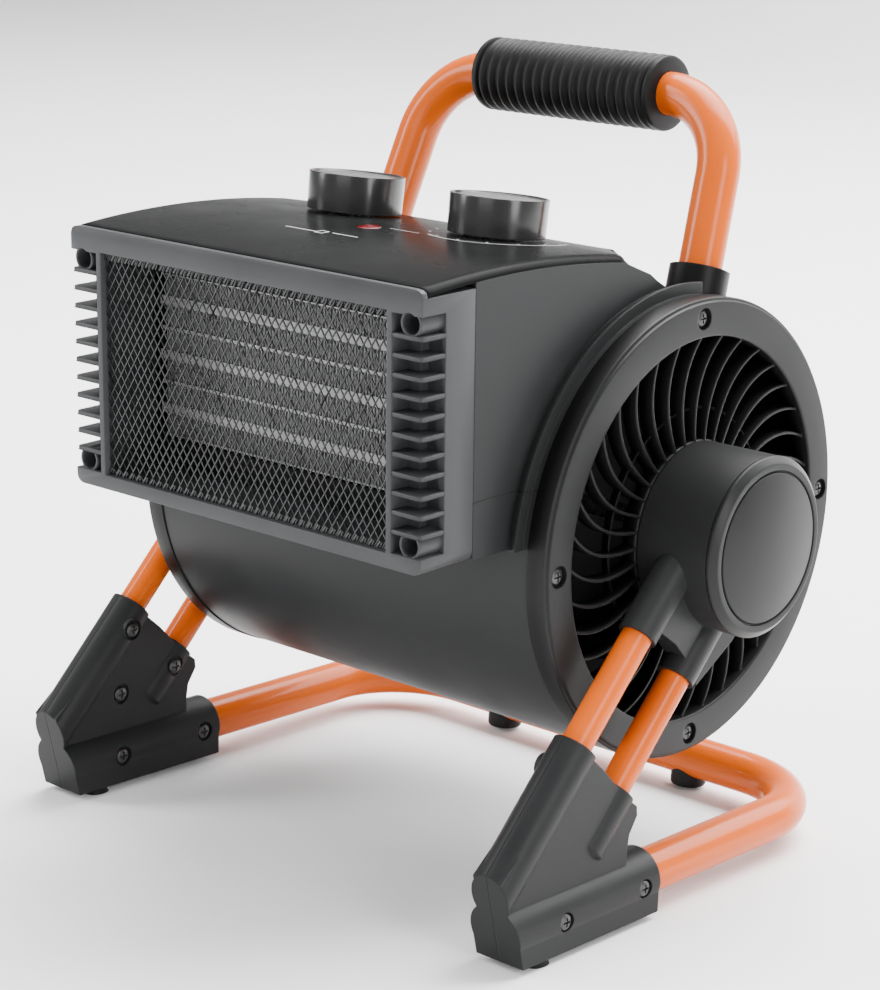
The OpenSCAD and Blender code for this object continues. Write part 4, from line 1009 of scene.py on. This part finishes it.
# %% Handle tube
HANDLE_R, HANDLE_TOP, GRIP_HALF, BEND, DRUM_R = 9.3, 178.5, 49.7, 35.3, 96.5
LEG_LEAN, HANDLE_SEAT, HANDLE_LEAN = (math.radians(a) for a in (5, 17.3, 21.5))
HANDLE = (HEAD @ Matrix.Rotation(-HANDLE_SEAT, 4, "X") @ Matrix.Translation((0, 0, DRUM_R))
          @ Matrix.Rotation(HANDLE_SEAT - HANDLE_LEAN, 4, "X") @ Matrix.Translation((0, 0, -DRUM_R)))
rise = HANDLE_TOP - BEND * (1 - math.sin(LEG_LEAN))
side_path = []
for k in range(25):
    a = math.pi / 2 - (math.pi / 2 - LEG_LEAN) * k / 24
    side_path.append(Vector((GRIP_HALF + BEND * math.cos(a), 0, HANDLE_TOP - BEND + BEND * math.sin(a))))
foot_z = 87.5
foot_x = side_path[-1].x + (side_path[-1].z - foot_z) * math.tan(LEG_LEAN)
side_path += [side_path[-1].lerp(Vector((foot_x, 0, foot_z)), k / 6) for k in range(1, 7)]
path = [Vector((-p.x, p.y, p.z)) for p in reversed(side_path)] + side_path
tube = swept(path, HANDLE_R, 48)
settle(tube, 60)
place_piece("handle_bend", tube, HANDLE, "head", orange_coat, ["handle_tube"])

# %% [markdown]
# The grip is a thick rubber sleeve with rounded ribs. It is turned from one profile: a plain collar at
# each end, and between them a rib and a groove at a steady pitch.

# %% Grip
GRIP_R, RIB_PITCH, RIBS_ALONG = 16.3, 5.15, 18
# One rib and its groove: share of the pitch, and height against the rib's top.
RIB_SHAPE = ((0.0, -1.55), (0.12, -1.6), (0.24, -1.1), (0.34, -0.35), (0.46, -0.03), (0.6, 0.0),
             (0.72, -0.2), (0.84, -0.8), (0.94, -1.4))
profile = [(HANDLE_R + 0.1, -49.5), (14.8, -49.5), (15.9, -49.0), (16.2, -48.2), (16.2, -46.9), (15.6, -46.6)]
start = -RIB_PITCH * RIBS_ALONG / 2
for k in range(RIBS_ALONG):
    profile += [(GRIP_R + height, start + (k + share) * RIB_PITCH) for share, height in RIB_SHAPE]
profile += [(15.6, 46.5), (16.2, 46.9), (16.2, 48.2), (15.9, 49.0), (14.8, 49.5), (HANDLE_R + 0.1, 49.5)]
grip = turned(profile, 72)
settle(grip, 42)
place_piece("rubber_grip", grip, HANDLE @ Matrix.Translation((0, 0, HANDLE_TOP)), "head", grip_rubber,
            ["handle_grip"])

# %% [markdown]
# ## Stand
# The base is one tube bent into a U that lies level behind the brackets, and four straight struts of
# thinner tube climb from the brackets to the pivot arms. They are swept like the handle, hollow where an
# end could show.

# %% Base and struts
STRUT_X, STRUT_R, STRUT_BORE, SLOPE = 129.3, 6.4, 4.9, math.radians(46.5)
FRONT_STRUT_Y, REAR_STRUT_Y = -25.8, 22.9
BASE_R, BASE_Z, BASE_REAR, BASE_FRONT, BASE_BEND = 9.5, -134.5, 88.0, -123.0, 42.0
bend_x, bend_y = STRUT_X - BASE_BEND, BASE_REAR - BASE_BEND
half_base = [Vector((0, BASE_REAR, BASE_Z)), Vector((bend_x, BASE_REAR, BASE_Z))]
half_base += [Vector((bend_x + BASE_BEND * math.sin(a), bend_y + BASE_BEND * math.cos(a), BASE_Z))
              for a in (math.pi / 2 * k / 20 for k in range(1, 21))]
half_base += [Vector((STRUT_X, BASE_FRONT, BASE_Z))]
path = [Vector((-p.x, p.y, p.z)) for p in reversed(half_base[1:])] + half_base
base = swept(path, BASE_R, 44)
settle(base, 60)
place_piece("base_bend", base, STAND, "stand", orange_coat, ["base_tube"])


def strut_at(y_at, depth):
    """Point (y, z) of a strut's middle line at a depth under the tilt axis; y_at is where it would meet it."""
    return (y_at - depth / math.tan(SLOPE), -depth)


for word, y_at, top, low in (("front", FRONT_STRUT_Y, 12, 113), ("rear", REAR_STRUT_Y, 36, 111)):
    run = [Vector((STRUT_X, *strut_at(y_at, depth))) for depth in (top, low)]
    for side, mirror in SIDES:
        strut = swept(run, STRUT_R, 40, STRUT_BORE)
        settle(strut, 60)
        place_piece(f"{word}_post_{side}", strut, STAND @ mirror, "stand", orange_coat,
                    [f"{word}_strut_{side}"])

# %% [markdown]
# The snap-in caps over the pivots are turned: a chamfered rim, a fine groove and a shallow dome. The
# hub's barrel behind keeps its CAD shape.

# %% Pivot caps
CAP_X, ARM_R, PLUG_R, DOME_R, DOME_RISE = 147.6, 37.5, 33.3, 31.0, 3.5
RIM_OUT = CAP_X + 4
ball = (DOME_R ** 2 + DOME_RISE ** 2) / (2 * DOME_RISE)
dome = [(r_at, RIM_OUT + math.sqrt(ball ** 2 - r_at ** 2) - ball + DOME_RISE)
        for r_at in (DOME_R * k / 14 for k in range(14, 0, -1))]
plug = [(0, CAP_X - 1.9), (PLUG_R, CAP_X - 1.9), (PLUG_R, CAP_X)]
rim_and_groove = [(ARM_R + 0.15, CAP_X + 0.1), (ARM_R + 0.15, CAP_X + 1.6), (ARM_R - 2.8, RIM_OUT),
                  (DOME_R + 1.1, RIM_OUT), (DOME_R + 0.9, CAP_X + 2.9), (DOME_R + 0.1, CAP_X + 2.9)]
rim_and_groove = fillet(rim_and_groove, [0.2, 0.8, 0.8, 0.4, 0.2, 0.2])
cap_profile = plug + rim_and_groove + dome + [(0, RIM_OUT + DOME_RISE)]
for side, mirror in SIDES:
    cap = turned(cap_profile, 128)
    settle(cap, 28)
    place_piece(f"hub_cap_{side}", cap, STAND @ mirror, "stand", cap_grey, [f"pivot_cap_{side}"])

# %% [markdown]
# Rubber feet keep the stand from sliding. Under each bracket's front is a pad with round ends, extruded and
# bevelled, and under the rear tube are two round buffers, turned about upright axes.

# %% Feet
FLOOR_Z, BUFFER_X = -150, 56
PAD_HALF, PAD_FRONT, PAD_REAR, PAD_TOP = 10.4, -122.4, -111.6, -145.1


def foot(x_at, y_at, profile):
    """A turned foot that stands on the floor."""
    one = turned(profile, 40)
    one.transform(Matrix.Translation((x_at, y_at, FLOOR_Z)) @ UPRIGHT)
    return one


def pad(x_at):
    """A pad with round ends that crosses the underside of a bracket."""
    x_low, x_high = x_at - PAD_HALF, x_at + PAD_HALF
    plan = fillet([(x_low, PAD_FRONT), (x_high, PAD_FRONT), (x_high, PAD_REAR), (x_low, PAD_REAR)], 5.3, 8)
    return bevelled(extruded(plan, FLOOR_Z, PAD_TOP, "Z"), 0.7)


buffer = [(0, 0)] + fillet([(8.4, 0), (8.1, 12.0), (0, 12.0)], [1.4, 0.6, 0], 4)
pads = [pad(x_at) for x_at in (STRUT_X, -STRUT_X)]
buffers = [foot(x_at, BASE_REAR, buffer) for x_at in (BUFFER_X, -BUFFER_X)]
for name, shapes, stands_for in (("front_nubs", pads, "front_feet"), ("rear_buffers", buffers, "rear_feet")):
    feet = joined(shapes)
    settle(feet, 40)
    place_piece(name, feet, STAND, "stand", grip_rubber, [stands_for])

# %% [markdown]
# The brackets are two moulded halves each, clamped on the tubes by screws: two from outside, and the
# rest from the inner side. Their seats are the CAD's.

# %% Bracket screws
BRACKET_HALF, SPLIT, SUNK = 11.9, 1.4, 0.1
base_seats = [(-106, BASE_Z), (-56, BASE_Z)]
inner = [(seat_at, BRACKET_HALF) for seat_at in base_seats]
inner += [(strut_at(FRONT_STRUT_Y, 77), BRACKET_HALF - 2), (strut_at(REAR_STRUT_Y, 100), 9.2), ((-103, -107), 7.0)]
stand_seats = []
for side in (1, -1):
    outer_x = side * (STRUT_X + BRACKET_HALF - SPLIT + HEAD_T - SUNK)
    stand_seats += [((outer_x, y_at, z_at), (side, 0, 0)) for y_at, z_at in base_seats]
    stand_seats += [((side * (STRUT_X + SPLIT - reach - HEAD_T + SUNK), y_at, z_at), (-side, 0, 0))
                    for (y_at, z_at), reach in inner]
screws = seated(cross_head(), black_screw, stand_seats)
settle(screws, 30)
place_piece("stand_screws", screws, STAND, "stand", black_screw, both("bracket_screws"))

# %% [markdown]
# ## Floor
# A wide pale floor that curves up behind the heater, like a photographer's paper sweep.

# %% Floor and close
f = Finish("paper_sweep")
fibre = f.noise(60, 4)
paper = f.surface(f.mix(fibre, grey(0.86), grey(0.9)), 0.85, fibre, 0.01)
CURVE_FROM, CURVE_R, SWEEP_HALF = 3.0, 2, 7
curve = [(CURVE_FROM + CURVE_R * math.sin(a), CURVE_R - CURVE_R * math.cos(a))
         for a in (math.pi / 2 * k / 16 for k in range(17))]
sweep_line = [(-6.0, 0.0)] + curve + [(CURVE_FROM + CURVE_R, 6.0)]
points = [(x_at, y_at, z_at) for x_at in (-SWEEP_HALF, SWEEP_HALF) for y_at, z_at in sweep_line]
count = len(sweep_line)
sweep = mesh_of(points, [[k, k + 1, k + 1 + count, k + count] for k in range(count - 1)])
settle(sweep, 60)
sweep.materials.append(paper)
floor = add_object("floor", sweep)
floor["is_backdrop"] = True
box_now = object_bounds()
for label, box in (("CAD box", cad_box), ("visual box", box_now)):
    print(label, [[round(v, 4) for v in c] for c in box])
